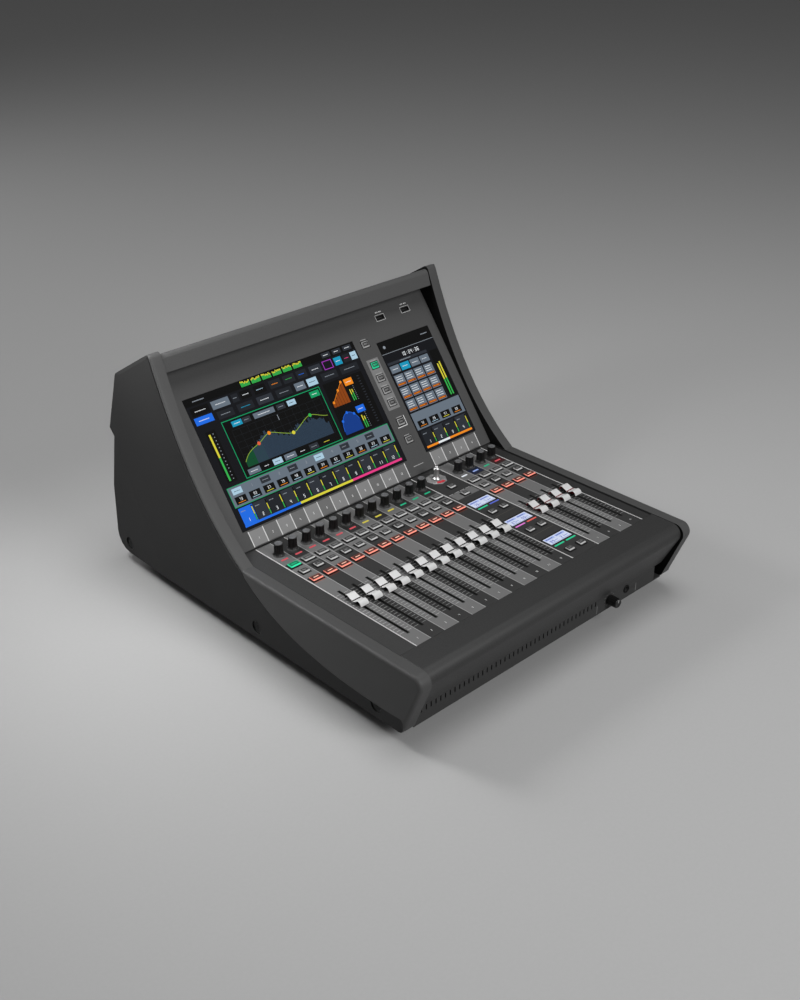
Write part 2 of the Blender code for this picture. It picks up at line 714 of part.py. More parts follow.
def key_row(name, middles, y, size, paint_key):
    """One rubber strip under the deck with a key standing up through each opening."""
    low = row_strip_low
    high = low + CARRIER
    outline = [(middles[0] - size[0] / 2, low), (middles[-1] + size[0] / 2, low)]
    for i in reversed(range(len(middles))):
        right = middles[i] + size[0] / 2
        left = middles[i] - size[0] / 2
        if i < len(middles) - 1:
            outline.append((right, high))
        outline += [(right, KEY_RISE), (left, KEY_RISE)]
        if i > 0:
            outline.append((left, high))
    bm = bmesh.new()
    add_prism(bm, outline, -size[1] / 2, size[1] / 2, lambda u, v, w: (u, w, v))
    make(name, to_mesh(name, bm), paint_key, (0.0, y, deck_z))


def build_centre_keys(paint_key):
    """Centre column keys on one carrier, which runs below the strips of the key rows."""
    singles, pairs, labels = centre_places()
    legs = ((select_row + encoder_row) / 2, (cue_row + select_row) / 2)
    top = row_strip_low - GAP - KEY_TRAVEL
    low = top - CARRIER
    shelf_low = -DECK_THICKNESS - GAP - CARRIER / 2
    half_x = CENTRE_KEY[0] / 2
    half_y = CENTRE_KEY[1] / 2
    bm = bmesh.new()
    add_box(bm, (-CARRIER, pairs[-1][1] - half_y, low), (CARRIER, legs[0] + CARRIER / 2, top))
    place = (column_middle, 0.0, deck_z)
    keys = make("centre_keys", to_mesh("centre_keys", bm), paint_key, place)
    for x, y in pairs:
        bm = bmesh.new()
        side = x - column_middle
        add_box(bm, (side - half_x, y - half_y, low - GAP), (side + half_x, y + half_y, KEY_RISE))
        combine(keys, bm, "UNION")
    for y in sorted({y for x, y in pairs}):
        bm = bmesh.new()
        reach = KEY_PAIR_SPREAD / 2
        add_box(bm, (-reach, y - half_y + GAP, low + GAP), (reach, y + half_y - GAP, top - GAP))
        combine(keys, bm, "UNION")
    for (x, y), leg in zip(singles, legs):
        bm = bmesh.new()
        add_box(bm, (-half_x, y - half_y, shelf_low), (half_x, y + half_y, KEY_RISE))
        combine(keys, bm, "UNION")
        bm = bmesh.new()
        near = (GAP - half_x, min(y, leg) - half_y + GAP, shelf_low - GAP)
        far = (half_x - GAP, max(y, leg) + half_y - GAP, shelf_low + CARRIER / 2 - GAP)
        add_box(bm, near, far)
        combine(keys, bm, "UNION")
        bm = bmesh.new()
        half = CARRIER / 2 - GAP
        add_box(bm, (-2 * half, leg - half, low + GAP), (2 * half, leg + half, shelf_low + GAP))
        combine(keys, bm, "UNION")


def build_labels(paint_label):
    """Three label displays in deck windows, joined by the narrow board below them."""
    singles, pairs, labels = centre_places()
    half_x = LABEL_SIZE[0] / 2
    half_y = LABEL_SIZE[1] / 2
    bm = bmesh.new()
    strip = (KEY_PAIR_SPREAD - CENTRE_KEY[0]) / 2 - 2 * GAP
    add_box(bm, (-strip, labels[-1], -LABEL_DEPTH - SHEET),
            (strip, labels[0] - half_y / 2, GAP - LABEL_DEPTH))
    place = (column_middle, 0.0, deck_z)
    board = make("label_displays", to_mesh("label_displays", bm), paint_label, place)
    for y in labels:
        bm = bmesh.new()
        add_box(bm, (-half_x, y - half_y, -LABEL_DEPTH), (half_x, y + half_y, -GAP))
        combine(board, bm, "UNION")


def on_screen_plane(item):
    """Stand an object that was drawn flat on the sloping display plane, at the lip."""
    item.location = lip * METRE
    item.rotation_euler = (screen_angle, 0.0, 0.0)
    bpy.context.view_layer.update()


def screen_places():
    """Left, right, low and high edge of the main and the sub screen on the display plane."""
    side_right = side_left + SIDE_STRIPS * STRIP_PITCH
    main_high = LIP_LENGTH + MAIN_SCREEN_HEIGHT
    sub_high = LIP_LENGTH + SUB_SCREEN_HEIGHT
    main = (main_left - MAIN_BORDER, main_right + MAIN_BORDER, LIP_LENGTH, main_high)
    sub = (side_left - SUB_BORDER, side_right + SUB_BORDER, LIP_LENGTH, sub_high)
    return main, sub


def screen_key_rows():
    """Heights of the keys between the screens, from the lowest up."""
    heights = []
    height = LIP_LENGTH
    for step in SCREEN_KEY_STEPS:
        height += step
        heights.append(height)
    return heights


def build_display(paint_bezel, paint_glass, paint_key):
    bm = bmesh.new()
    outline = [(0.0, 0.0), (bezel_top, 0.0), (bezel_top, -BEZEL_THICKNESS), (0.0, -BEZEL_THICKNESS)]
    add_prism(bm, outline, -half_fit, half_fit, lambda u, v, w: (w, u, v))
    bezel = make("display_bezel", to_mesh("display_bezel", bm), paint_bezel)
    on_screen_plane(bezel)
    bm = bmesh.new()
    main, sub = screen_places()
    for left, right, low, high in (main, sub):
        add_box(bm, (left, low, -BEZEL_THICKNESS - OVERCUT), (right, high, OVERCUT))
    half_x = SCREEN_KEY[0] / 2 + GAP
    half_y = SCREEN_KEY[1] / 2 + GAP
    key_x = (main[1] + sub[0]) / 2
    for height in screen_key_rows():
        add_box(bm, (key_x - half_x, height - half_y, -BEZEL_THICKNESS - OVERCUT),
                (key_x + half_x, height + half_y, OVERCUT))
    port_height = sub[3] + PORT_ABOVE_SUB
    for side in (-1, 1):
        x = (sub[0] + sub[1]) / 2 + side * PORT_SPACING / 2
        add_box(bm, (x - PORT_SIZE[0] / 2, port_height - PORT_SIZE[1] / 2, -PORT_DEPTH),
                (x + PORT_SIZE[0] / 2, port_height + PORT_SIZE[1] / 2, OVERCUT))
    combine(bezel, bm, "DIFFERENCE")
    for name, (left, right, low, high) in (("main_display", main), ("sub_display", sub)):
        bm = bmesh.new()
        add_box(bm, (left + GAP, low + GAP, -SCREEN_DEPTH), (right - GAP, high - GAP, 0.0))
        on_screen_plane(make(name, to_mesh(name, bm), paint_glass))
    rail_low = -BEZEL_THICKNESS - GAP - KEY_TRAVEL - 2 * CARRIER
    rail_high = rail_low + CARRIER
    heights = screen_key_rows()
    half = SCREEN_KEY[1] / 2
    outline = [(heights[0] - half, rail_low), (heights[-1] + half, rail_low)]
    for i in reversed(range(len(heights))):
        if i < len(heights) - 1:
            outline.append((heights[i] + half, rail_high))
        outline += [(heights[i] + half, KEY_RISE / 2), (heights[i] - half, KEY_RISE / 2)]
        if i > 0:
            outline.append((heights[i] - half, rail_high))
    bm = bmesh.new()
    half_x = SCREEN_KEY[0] / 2
    add_prism(bm, outline, key_x - half_x, key_x + half_x, lambda u, v, w: (w, u, v))
    on_screen_plane(make("display_keys", to_mesh("display_keys", bm), paint_key))


def build_hood_and_rear(paint_hood, paint_rear, paint_socket):
    shelf_end = Vector((lip.y + bezel_top * screen_up.y, hood_low.y))
    rear_edge = rear_top - Vector((REAR_INSET, HOOD_BELOW_RAIL))
    fall = (notch - Vector((REAR_INSET, 0.0)) - rear_edge).normalized()
    hood_end = rear_edge + fall * HOOD_REAR_LIP
    front = hood_low + Vector((HOOD_BELOW_RAIL, 0.0))
    corner = line_meet(front, front + hood_top - hood_low, rear_edge, rear_edge + hood_top - rear_top)
    path = [shelf_end, front] + rounded(front, corner, rear_edge, HOOD_EDGE_RADIUS) + [rear_edge, hood_end]
    bm = bmesh.new()
    add_prism(bm, sheet(list(reversed(path)), HOOD_THICKNESS), -half_fit, half_fit, across)
    make("top_hood", to_mesh("top_hood", bm), paint_hood)

    upper = hood_end + fall * GAP
    knee = notch_foot - Vector((REAR_INSET, 0.0))
    foot = Vector((rear_y - REAR_INSET, base_z + REAR_FOOT_RADIUS))
    rest = Vector((rear_y - REAR_FOOT_RADIUS, floor_z + GAP))
    bm = bmesh.new()
    add_prism(bm, sheet([rest, foot, knee, upper], SHEET), -half_fit, half_fit, across)
    panel = make("rear_panel", to_mesh("rear_panel", bm), paint_rear)
    down = (foot - knee).normalized()
    out = Vector((-down.y, down.x))

    def on_rear(u, v, w):
        point = knee + down * v + out * w
        return (u, point.x, point.y)

    half_x = SOCKET_FIELD[0] / 2
    low = SOCKET_FIELD_DROP
    high = low + SOCKET_FIELD[1]
    window = [(-half_x, low), (half_x, low), (half_x, high), (-half_x, high)]
    bm = bmesh.new()
    add_prism(bm, window, -SHEET - OVERCUT, OVERCUT, on_rear)
    combine(panel, bm, "DIFFERENCE")
    fit_x = half_x - GAP
    plate = [(-fit_x, low + GAP), (fit_x, low + GAP), (fit_x, high - GAP), (-fit_x, high - GAP)]
    bm = bmesh.new()
    add_prism(bm, plate, -SOCKET_PLATE, 0.0, on_rear)
    field = make("rear_sockets", to_mesh("rear_sockets", bm), paint_socket)
    rims = bmesh.new()
    bores = bmesh.new()
    for column in range(SOCKET_COLUMNS):
        for row in range(SOCKET_ROWS):
            x = -half_x + SOCKET_FIELD[0] * (column + 0.5) / SOCKET_COLUMNS
            y = low + SOCKET_FIELD[1] * (row + 0.5) / SOCKET_ROWS
            add_prism(rims, circle(x, y, SOCKET_RADIUS), -GAP, SOCKET_RIM, on_rear)
            bore = circle(x, y, SOCKET_BORE)
            add_prism(bores, bore, SOCKET_RIM - SOCKET_RECESS, SOCKET_RIM + OVERCUT, on_rear)
    combine(field, rims, "UNION")
    combine(field, bores, "DIFFERENCE")


def build_inside(paint_steel, paint_board, paint_supply):
    front = deck_front + CHASSIS_INSET
    back = on_row - CHASSIS_INSET
    top = deck_z - DECK_THICKNESS - CHASSIS_DEPTH
    seat = floor_z + GAP
    path = [Vector((back, seat)), Vector((back, top)), Vector((front, top)), Vector((front, seat))]
    bm = bmesh.new()
    add_prism(bm, sheet(path, SHEET), -half_fit, half_fit, across)
    make("fader_chassis", to_mesh("fader_chassis", bm), paint_steel)

    left = -half_inner + BOARD_FROM_SIDE
    rear = rear_y - INNER_FROM_REAR
    low = seat + BOARD_STAND
    bm = bmesh.new()
    add_box(bm, (left, rear - BOARD_SIZE[1], low), (left + BOARD_SIZE[0], rear, low + BOARD_THICKNESS))
    board = make("main_board", to_mesh("main_board", bm), paint_board)
    half = BOARD_POST / 2
    bm = bmesh.new()
    for x in (left + BOARD_POST, left + BOARD_SIZE[0] - BOARD_POST):
        for y in (rear - BOARD_POST, rear - BOARD_SIZE[1] + BOARD_POST):
            add_box(bm, (x - half, y - half, seat), (x + half, y + half, low + BOARD_THICKNESS / 2))
    combine(board, bm, "UNION")
    left += BOARD_SIZE[0] + BOARD_TO_SUPPLY
    bm = bmesh.new()
    add_box(bm, (left, rear - SUPPLY_SIZE[1], seat), (left + SUPPLY_SIZE[0], rear, seat + SUPPLY_SIZE[2]))
    make("power_supply", to_mesh("power_supply", bm), paint_supply)


def build_feet(paint_rubber):
    bm = bmesh.new()
    add_turned(bm, [(FOOT_RADIUS, 0.0), (FOOT_RADIUS, FOOT_HEIGHT - GAP)])
    mesh = to_mesh("foot", bm)
    x = half_inner - FOOT_FROM_SIDE
    front = wall_y + FOOT_FROM_ENDS
    rear = rear_y - FOOT_FROM_ENDS
    for name, place in (("front_left", (-x, front, 0)), ("front_right", (x, front, 0)),
                        ("rear_left", (-x, rear, 0)), ("rear_right", (x, rear, 0))):
        make("foot_" + name, mesh, paint_rubber, place, smooth=True)


def build():
    clear_scene()
    moulding = paint("moulded_frame", (0.105, 0.105, 0.105), 0.55)
    cover = paint("moulded_cover", (0.045, 0.046, 0.047), 0.55)
    for side, name in ((-1, "left"), (1, "right")):
        build_side(side, name, moulding, cover)
    phones_place = build_tray(paint("tray_steel", (0.05, 0.05, 0.05), 0.6))
    build_armrest(paint("armrest_skin", (0.04, 0.04, 0.04), 0.6))
    build_deck(paint("deck_steel", (0.06, 0.06, 0.062), 0.5))
    build_faders(paint("fader_cap", (0.8, 0.8, 0.8), 0.35))
    knob_rubber = paint("knob_rubber", (0.012, 0.012, 0.012), 0.6)
    turned_metal = paint("turned_metal", (0.7, 0.7, 0.7), 0.3, 1.0)
    build_knobs(knob_rubber, turned_metal, phones_place)
    key_rubber = paint("key_rubber", (0.12, 0.12, 0.12), 0.5)
    lit_rubber = paint("lit_key_rubber", (0.75, 0.2, 0.14), 0.5)
    key_row("select_keys", strip_middles, select_row, SELECT_KEY, key_rubber)
    key_row("cue_keys", strip_middles, cue_row, CUE_KEY, key_rubber)
    key_row("on_keys", strip_middles, on_row, ON_KEY, lit_rubber)
    build_centre_keys(key_rubber)
    build_labels(paint("label_glass", (0.62, 0.68, 0.82), 0.25))
    bezel_steel = paint("bezel_steel", (0.13, 0.13, 0.13), 0.55)
    screen_glass = paint("screen_glass", (0.01, 0.01, 0.012), 0.2)
    build_display(bezel_steel, screen_glass, key_rubber)
    hood_steel = paint("hood_steel", (0.1, 0.1, 0.1), 0.55)
    rear_steel = paint("rear_steel", (0.03, 0.03, 0.03), 0.6)
    socket_metal = paint("socket_metal", (0.05, 0.05, 0.05), 0.4)
    build_hood_and_rear(hood_steel, rear_steel, socket_metal)
    chassis_steel = paint("chassis_steel", (0.5, 0.5, 0.5), 0.4, 1.0)
    circuit_board = paint("circuit_board", (0.02, 0.12, 0.05), 0.5)
    supply_case = paint("supply_case", (0.45, 0.45, 0.45), 0.4, 1.0)
    build_inside(chassis_steel, circuit_board, supply_case)
    build_feet(paint("foot_rubber", (0.015, 0.015, 0.015), 0.85))


build()
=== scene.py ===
import json
import bmesh
import bpy
import numpy as np
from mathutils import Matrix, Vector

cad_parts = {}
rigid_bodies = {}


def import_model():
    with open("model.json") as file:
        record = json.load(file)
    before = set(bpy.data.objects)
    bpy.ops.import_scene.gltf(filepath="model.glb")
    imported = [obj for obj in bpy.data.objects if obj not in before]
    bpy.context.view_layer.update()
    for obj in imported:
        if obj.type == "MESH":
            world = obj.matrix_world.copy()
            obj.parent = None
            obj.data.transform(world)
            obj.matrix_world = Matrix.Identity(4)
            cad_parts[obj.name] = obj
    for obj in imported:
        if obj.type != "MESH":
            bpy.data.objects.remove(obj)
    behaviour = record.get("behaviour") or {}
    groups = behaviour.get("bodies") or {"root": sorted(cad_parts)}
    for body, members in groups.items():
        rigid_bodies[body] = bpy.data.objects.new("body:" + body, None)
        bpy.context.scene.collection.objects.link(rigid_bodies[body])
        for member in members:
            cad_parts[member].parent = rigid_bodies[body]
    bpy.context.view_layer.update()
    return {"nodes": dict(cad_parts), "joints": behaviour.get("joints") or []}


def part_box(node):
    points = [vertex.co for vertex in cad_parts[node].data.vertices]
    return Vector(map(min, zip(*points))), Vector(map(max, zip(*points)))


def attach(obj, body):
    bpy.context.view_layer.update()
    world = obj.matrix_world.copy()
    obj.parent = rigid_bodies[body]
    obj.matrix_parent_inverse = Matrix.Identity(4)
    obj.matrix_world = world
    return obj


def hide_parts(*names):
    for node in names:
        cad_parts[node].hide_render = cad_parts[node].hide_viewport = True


for item in list(bpy.data.objects):
    bpy.data.objects.remove(item, do_unlink=True)
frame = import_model()
scene = bpy.context.scene
mm = 0.001  # every size below is in millimetres
print("stage: frame loaded")


def cornersOf(node):  # lowest and highest corner of a solid
    return [np.array(corner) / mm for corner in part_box(node)]


def middleOf(node):
    return sum(cornersOf(node)) / 2


# places read from the frame
jointOf = {joint["name"]: joint for joint in frame["joints"]}
deckLow, deckHigh = cornersOf("fader_panel")
deckZ, deckFront, deckHalf = deckHigh[2], deckLow[1], deckHigh[0]
baseZ = cornersOf("side_frame_left")[0][2]
halfWidth = cornersOf("side_cover_right")[1][0]
stripX = np.array([middleOf(f"fader_{i:02d}")[0] for i in range(1, 17)])
encoderX = np.array([middleOf(f"encoder_{i:02d}")[0] for i in range(1, 17)])
pitch = stripX[1] - stripX[0]
mainLeft, mainRight = stripX[0] - pitch / 2, stripX[11] + pitch / 2
sideLeft, sideRight = stripX[12] - pitch / 2, stripX[15] + pitch / 2
columnX, turnY = middleOf("turn_knob")[:2]
encoderY, selectY, cueY, onY, faderY = [
    middleOf(node)[1] for node in ("encoder_01", "select_keys", "cue_keys", "on_keys", "fader_01")]
faderRange = np.array(jointOf["fader_01_slide"]["range_m"]) / mm
pressDown = np.array(jointOf["display_keys_press"]["axis"])
slopeSin, slopeCos = pressDown[1], -pressDown[2]
bezelWall = 3.0
lipY = cornersOf("display_bezel")[0][1]
lipZ = cornersOf("display_bezel")[0][2] + bezelWall * slopeCos
wallY = cornersOf("base_pan")[0][1]
lipLength = 22.5  # of the bezel below the screens


def onDeck(points):  # x, y and height above the deck
    return np.asarray(points, float) + np.array([0, 0, deckZ])


def onDisplay(points):  # x, length up the slope from the lip, height off the glass
    x, up, out = np.moveaxis(np.asarray(points, float), -1, 0)
    return np.stack([x, lipY + up * slopeCos - out * slopeSin, lipZ + up * slopeSin + out * slopeCos], -1)


def onFront(points):  # x, height, distance ahead of the front wall
    x, z, out = np.moveaxis(np.asarray(points, float), -1, 0)
    return np.stack([x, wallY - out, z], -1)


# colour and nodes
def linear(hexColour):  # sRGB hex to linear light
    part = np.array([int(hexColour[i:i + 2], 16) for i in (1, 3, 5)]) / 255
    return np.where(part <= 0.04045, part / 12.92, ((part + 0.055) / 1.055) ** 2.4)


def rgba(hexColour):
    return (*linear(hexColour), 1.0)


def addNode(tree, kind, sockets=None, **settings):  # a socket takes a value or a link
    node = tree.nodes.new(kind)
    for key, value in settings.items():
        setattr(node, key, value)
    for key, value in (sockets or {}).items():
        if isinstance(value, bpy.types.NodeSocket):
            tree.links.new(value, node.inputs[key])
        else:
            node.inputs[key].default_value = value
    return node


def newFinish(name, **sockets):  # a Principled material with its own sockets set, and its object coordinates
    material = bpy.data.materials.new(name)
    material.use_nodes = True
    tree = material.node_tree
    shader = tree.nodes["Principled BSDF"]
    for key, value in sockets.items():
        shader.inputs[key.replace("_", " ")].default_value = value
    return material, tree, shader, addNode(tree, "ShaderNodeTexCoord").outputs["Object"]


def wire(tree, shader, **sources):
    for key, source in sources.items():
        tree.links.new(source, shader.inputs[key.replace("_", " ")])


def noiseOf(tree, place, sizeMm, detail=2.0):
    sockets = {"Vector": place, "Scale": 1 / (sizeMm * mm), "Detail": detail}
    return addNode(tree, "ShaderNodeTexNoise", sockets).outputs[0]


def cellsOf(tree, place, sizeMm, feature="F1"):
    sockets = {"Vector": place, "Scale": 1 / (sizeMm * mm)}
    return addNode(tree, "ShaderNodeTexVoronoi", sockets, feature=feature).outputs["Distance"]


def shadeBy(tree, amount, colour, darker):
    sockets = {0: amount, 6: rgba(colour), 7: rgba(darker)}
    return addNode(tree, "ShaderNodeMix", sockets, data_type="RGBA").outputs[2]


def rangeOf(tree, amount, low, high, fromLow=0.0, fromHigh=1.0):
    sockets = {"Value": amount, "From Min": fromLow, "From Max": fromHigh, "To Min": low, "To Max": high}
    return addNode(tree, "ShaderNodeMapRange", sockets).outputs[0]


def bumpBy(tree, height, depthMm, invert=False):
    sockets = {"Height": height, "Distance": depthMm * mm}
    return addNode(tree, "ShaderNodeBump", sockets, invert=invert).outputs[0]


# In the finishes, a name that ends in Mm is a real size of the pattern: a grain, a cell, or its height.
def mouldedAbs(name, colour, darker, grainMm=0.9, depthMm=0.05, rough=0.5, shine=0.25, flowMm=70.0):
    # ABS from a spark-textured tool: even matt grain, shade drifting a little where the melt flowed
    material, tree, shader, place = newFinish(name, IOR=1.54, Specular_IOR_Level=shine)
    flow, grain = noiseOf(tree, place, flowMm), noiseOf(tree, place, grainMm)
    wire(tree, shader, Base_Color=shadeBy(tree, flow, colour, darker), Normal=bumpBy(tree, grain, depthMm),
         Roughness=rangeOf(tree, grain, rough - 0.07, rough + 0.07, 0.3, 0.7))
    return material


def powderCoat(name, colour, darker, peelMm=1.4, depthMm=0.04, rough=0.55, fleckMm=0.8):
    # powder-coated steel sheet: faint orange peel, a fine sparkle in the shade, half-matt
    material, tree, shader, place = newFinish(name, IOR=1.5, Specular_IOR_Level=0.2)
    fleck, peel = cellsOf(tree, place, fleckMm), noiseOf(tree, place, peelMm, 1.0)
    wire(tree, shader, Base_Color=shadeBy(tree, fleck, colour, darker), Normal=bumpBy(tree, peel, depthMm),
         Roughness=rangeOf(tree, peel, rough - 0.05, rough + 0.05, 0.3, 0.7))
    return material


def grainedSkin(name, colour, darker, cellMm=1.5, depthMm=0.12):
    # polyurethane skin with a pebbled leather grain: dark valleys, soft sheen on each pebble
    material, tree, shader, place = newFinish(name, IOR=1.5, Sheen_Weight=0.02, Specular_IOR_Level=0.7)
    pebble = cellsOf(tree, place, cellMm, "SMOOTH_F1")
    wire(tree, shader, Base_Color=shadeBy(tree, pebble, colour, darker),
         Roughness=rangeOf(tree, pebble, 0.5, 0.62), Normal=bumpBy(tree, pebble, depthMm, True))
    return material


def softRubber(name, colour, darker, rough, dustMm=6.0):
    # moulded silicone or EPDM: dull, with a dusty drift in shade and no sharp highlight
    material, tree, shader, place = newFinish(name, IOR=1.45)
    dust = noiseOf(tree, place, dustMm, 4.0)
    wire(tree, shader, Base_Color=shadeBy(tree, dust, colour, darker),
         Roughness=rangeOf(tree, dust, rough - 0.1, rough + 0.1))
    return material


def litSilicone(name, colour, darker, strength, cloudMm=5.0):
    # translucent silicone over a lamp: it glows, a little unevenly
    material, tree, shader, place = newFinish(name, IOR=1.41, Roughness=0.5, Emission_Strength=strength)
    shade = shadeBy(tree, noiseOf(tree, place, cloudMm), colour, darker)
    wire(tree, shader, Base_Color=shade, Emission_Color=shade)
    return material


def platedMetal(name, colour, darker, rough, markMm=0.25):
    # nickel or zinc plate: bright, with fine marks that break up the highlight
    material, tree, shader, place = newFinish(name, Metallic=1.0)
    marked = noiseOf(tree, place, markMm, 1.0)
    wire(tree, shader, Base_Color=shadeBy(tree, marked, colour, darker),
         Roughness=rangeOf(tree, marked, rough - 0.06, rough + 0.1))
    return material


def silverPaint(name, colour, darker, fleckMm=0.5):
    # silver lacquer: pale, satin, with a metal fleck
    material, tree, shader, place = newFinish(name, Metallic=0.2, Coat_Weight=0.15, Coat_Roughness=0.25)
    fleck = noiseOf(tree, place, fleckMm)
    wire(tree, shader, Base_Color=shadeBy(tree, fleck, colour, darker),
         Roughness=rangeOf(tree, fleck, 0.28, 0.42))
    return material


def printedInk(name, glow, rough, wearMm=1.2, ground="#0c0c0c"):
    # screen-printed ink, or a lit picture where glow is set: each mark has its own tint
    material, tree, shader, place = newFinish(name, IOR=1.5, Emission_Strength=glow,
                                              Specular_IOR_Level=0.15 if glow else 0.25)
    tint = addNode(tree, "ShaderNodeAttribute", attribute_name="tint").outputs["Color"]
    wire(tree, shader, Roughness=rangeOf(tree, noiseOf(tree, place, wearMm), rough - 0.06, rough + 0.06))
    if glow:
        shader.inputs["Base Color"].default_value = rgba(ground)
        wire(tree, shader, Emission_Color=tint)
    else:
        wire(tree, shader, Base_Color=tint)
    return material


def clearGlass(name, colour, darker, smearMm=45.0):
    # touch glass over a black mask: smooth and dark, with the faint smear of use
    material, tree, shader, place = newFinish(name, IOR=1.5)
    smear = noiseOf(tree, place, smearMm, 5.0)
    wire(tree, shader, Base_Color=shadeBy(tree, smear, colour, darker),
         Roughness=rangeOf(tree, smear, 0.12, 0.26))
    return material


# rail and cover are one ABS: the rail's copy is painted lighter for the light on its top, and the cover's
# copy darker as painted shade on the side
railAbsLit = mouldedAbs("moulded ABS rail, lit copy", "#474747", "#414141", rough=0.52)
coverAbsShaded = mouldedAbs("moulded ABS cover, shaded copy", "#323232", "#2c2c2c", shine=0.08)
# black ABS for the nut, sockets and cap cores, also used as painted shade on the rails' inner flats and in
# the screw sockets
blackAbsAndShade = mouldedAbs("moulded ABS black and painted shade", "#141414", "#0e0e0e", 0.5, 0.02, shine=0.1)
maroonAbs = mouldedAbs("moulded ABS maroon", "#76161d", "#5c1015", 0.5, 0.02)
hoodCoat = powderCoat("powder-coated hood steel", "#4e4e4e", "#474747")
bezelCoat = powderCoat("powder-coated bezel steel", "#494949", "#434343")
deckCoat = powderCoat("powder-coated deck steel", "#393939", "#343434")
trayCoat = powderCoat("powder-coated tray steel", "#393939", "#323232")
rearCoat = powderCoat("powder-coated rear steel", "#313131", "#2a2a2a")
armSkin = grainedSkin("grained polyurethane skin", "#1e1e1e", "#141414")
knobRubber = softRubber("soft-touch knob rubber", "#171717", "#0f0f0f", 0.4)
knobTop = softRubber("knob top rubber", "#606164", "#515151", 0.5)
knobSkirt = softRubber("knob skirt rubber", "#404040", "#373737", 0.5)
footRubber = softRubber("EPDM foot rubber", "#1d1d1d", "#131313", 0.8)
keyGrey = softRubber("grey key paint", "#686868", "#5f5f5f", 0.5)
keyPale = softRubber("pale key silicone", "#bababa", "#aaaaaa", 0.45)
# dark key paint for the window lines, also painted shade on the keys' sides
keyDarkAndShade = softRubber("dark key paint and painted side shade", "#0f0f0f", "#0a0a0a", 0.5)
onTop = litSilicone("lit salmon key paint", "#70382f", "#633129", 0.25)
onEdge = litSilicone("lit salmon silicone", "#e08474", "#d47868", 0.5)
onDark = softRubber("dark salmon key paint", "#431d17", "#381712", 0.5)
onLabel = litSilicone("lit salmon label", "#dcae9c", "#d0a08e", 0.35)
greenTop = litSilicone("lit green key paint", "#0f8f65", "#0c825b", 0.35)
greenEdge = litSilicone("lit green silicone", "#20c08c", "#1ab07f", 0.5)
greenDark = softRubber("dark green key paint", "#0b4a36", "#083c2b", 0.5)
capSilver = silverPaint("silver-lacquered ABS", "#dcdcdc", "#cecece")
flangeSilver = silverPaint("satin zinc flange", "#949494", "#868686")
nickel = platedMetal("turned nickel plate", "#d5d5d5", "#c0c0c0", 0.4)
satinNickel = platedMetal("satin nickel", "#a0a0a0", "#858585", 0.36, 0.6)
zincSteel = platedMetal("galvanised steel", "#8f9194", "#7a7c7f", 0.42, 6.0)
deckInk = printedInk("ink on the deck", 0.0, 0.6)
bezelInk = printedInk("ink on the bezel", 0.0, 0.6)
screenLight = printedInk("lit screen picture", 1.0, 0.12)
lampLight = printedInk("lit lamp lens", 1.0, 0.4)
screenGlass = clearGlass("touch glass", "#090909", "#0c0d10")
boardMask = mouldedAbs("solder mask on glass-epoxy", "#17472a", "#123a22", 2.5, 0.1, 0.35)
print("stage: finishes made")


# surfaces: a shape is (points, faces), and finishes are numbered per face
def gridFaces(rows, columns):  # quads between neighbours, each row closed on itself
    index = np.arange(rows * columns).reshape(rows, columns)
    index = np.hstack([index, index[:, :1]])
    corners = [index[:-1, :-1], index[:-1, 1:], index[1:, 1:], index[1:, :-1]]
    return np.stack(corners, -1).reshape(-1, 4).tolist()


def loft(rings):  # rings skinned one to the next, with a flat cap on the first and the last
    rings = np.asarray(rings, float)
    count, size = rings.shape[:2]
    ends = [list(range(size))[::-1], list(range((count - 1) * size, count * size))]
    return rings.reshape(-1, 3), gridFaces(count, size) + ends


def turned(profile, sides=40, flutes=0, depth=0.0, fluted=(0.0, 0.0)):
    # profile (radius, height) carried round Z; between two heights the radius dips by a cosine per flute
    radius, height = np.array(profile, float).T
    turn = np.linspace(0, 2 * np.pi, sides, endpoint=False)
    inside = ((height >= fluted[0]) & (height <= fluted[1]))[:, None]
    reach = radius[:, None] - inside * depth * (1 + np.cos(flutes * turn)) / 2
    height = np.broadcast_to(height[:, None], reach.shape)
    return loft(np.stack([reach * np.cos(turn), reach * np.sin(turn), height], -1))


def roundRect(halfX, halfY, radius, steps=3):  # quarter arcs about the four corner centres
    quarter = np.repeat(np.arange(4), steps + 1)
    turn = quarter * np.pi / 2 + np.tile(np.linspace(0, np.pi / 2, steps + 1), 4)
    side = (quarter + 0.5) * np.pi / 2
    return np.column_stack([np.sign(np.cos(side)) * (halfX - radius) + radius * np.cos(turn),
                            np.sign(np.sin(side)) * (halfY - radius) + radius * np.sin(turn)])


def ringAt(line, z):  # a flat outline set at a height, or at one height per point
    return np.column_stack([line, np.broadcast_to(z, len(line))])


def acrossAt(x, line):  # a side view outline, y + z i, set at a place across
    return np.column_stack([np.broadcast_to(x, len(line)), line.real, line.imag])


def slab(halfX, halfY, low, high, corner, edge, steps=3):
    # rounded rectangle raised from low to high, its top edge rolled over by a quarter arc
    turn = np.linspace(0, np.pi / 2, 3)
    insets = np.append(0, edge * (1 - np.cos(turn)))
    heights = np.append(low, high - edge + edge * np.sin(turn))
    rings = []
    for inset, height in zip(insets, heights):
        flat = roundRect(halfX - inset, halfY - inset, max(corner - inset, 0.05), steps)
        rings.append(ringAt(flat, height))
    return loft(rings)


def moved(shape, offset):
    return shape[0] + np.array(offset, float), shape[1]


def placed(shapes, place, x, y):  # finished shapes moved to a spot of a plane
    return [(place(points + np.array([x, y, 0])), faces, mark) for points, faces, mark in shapes]


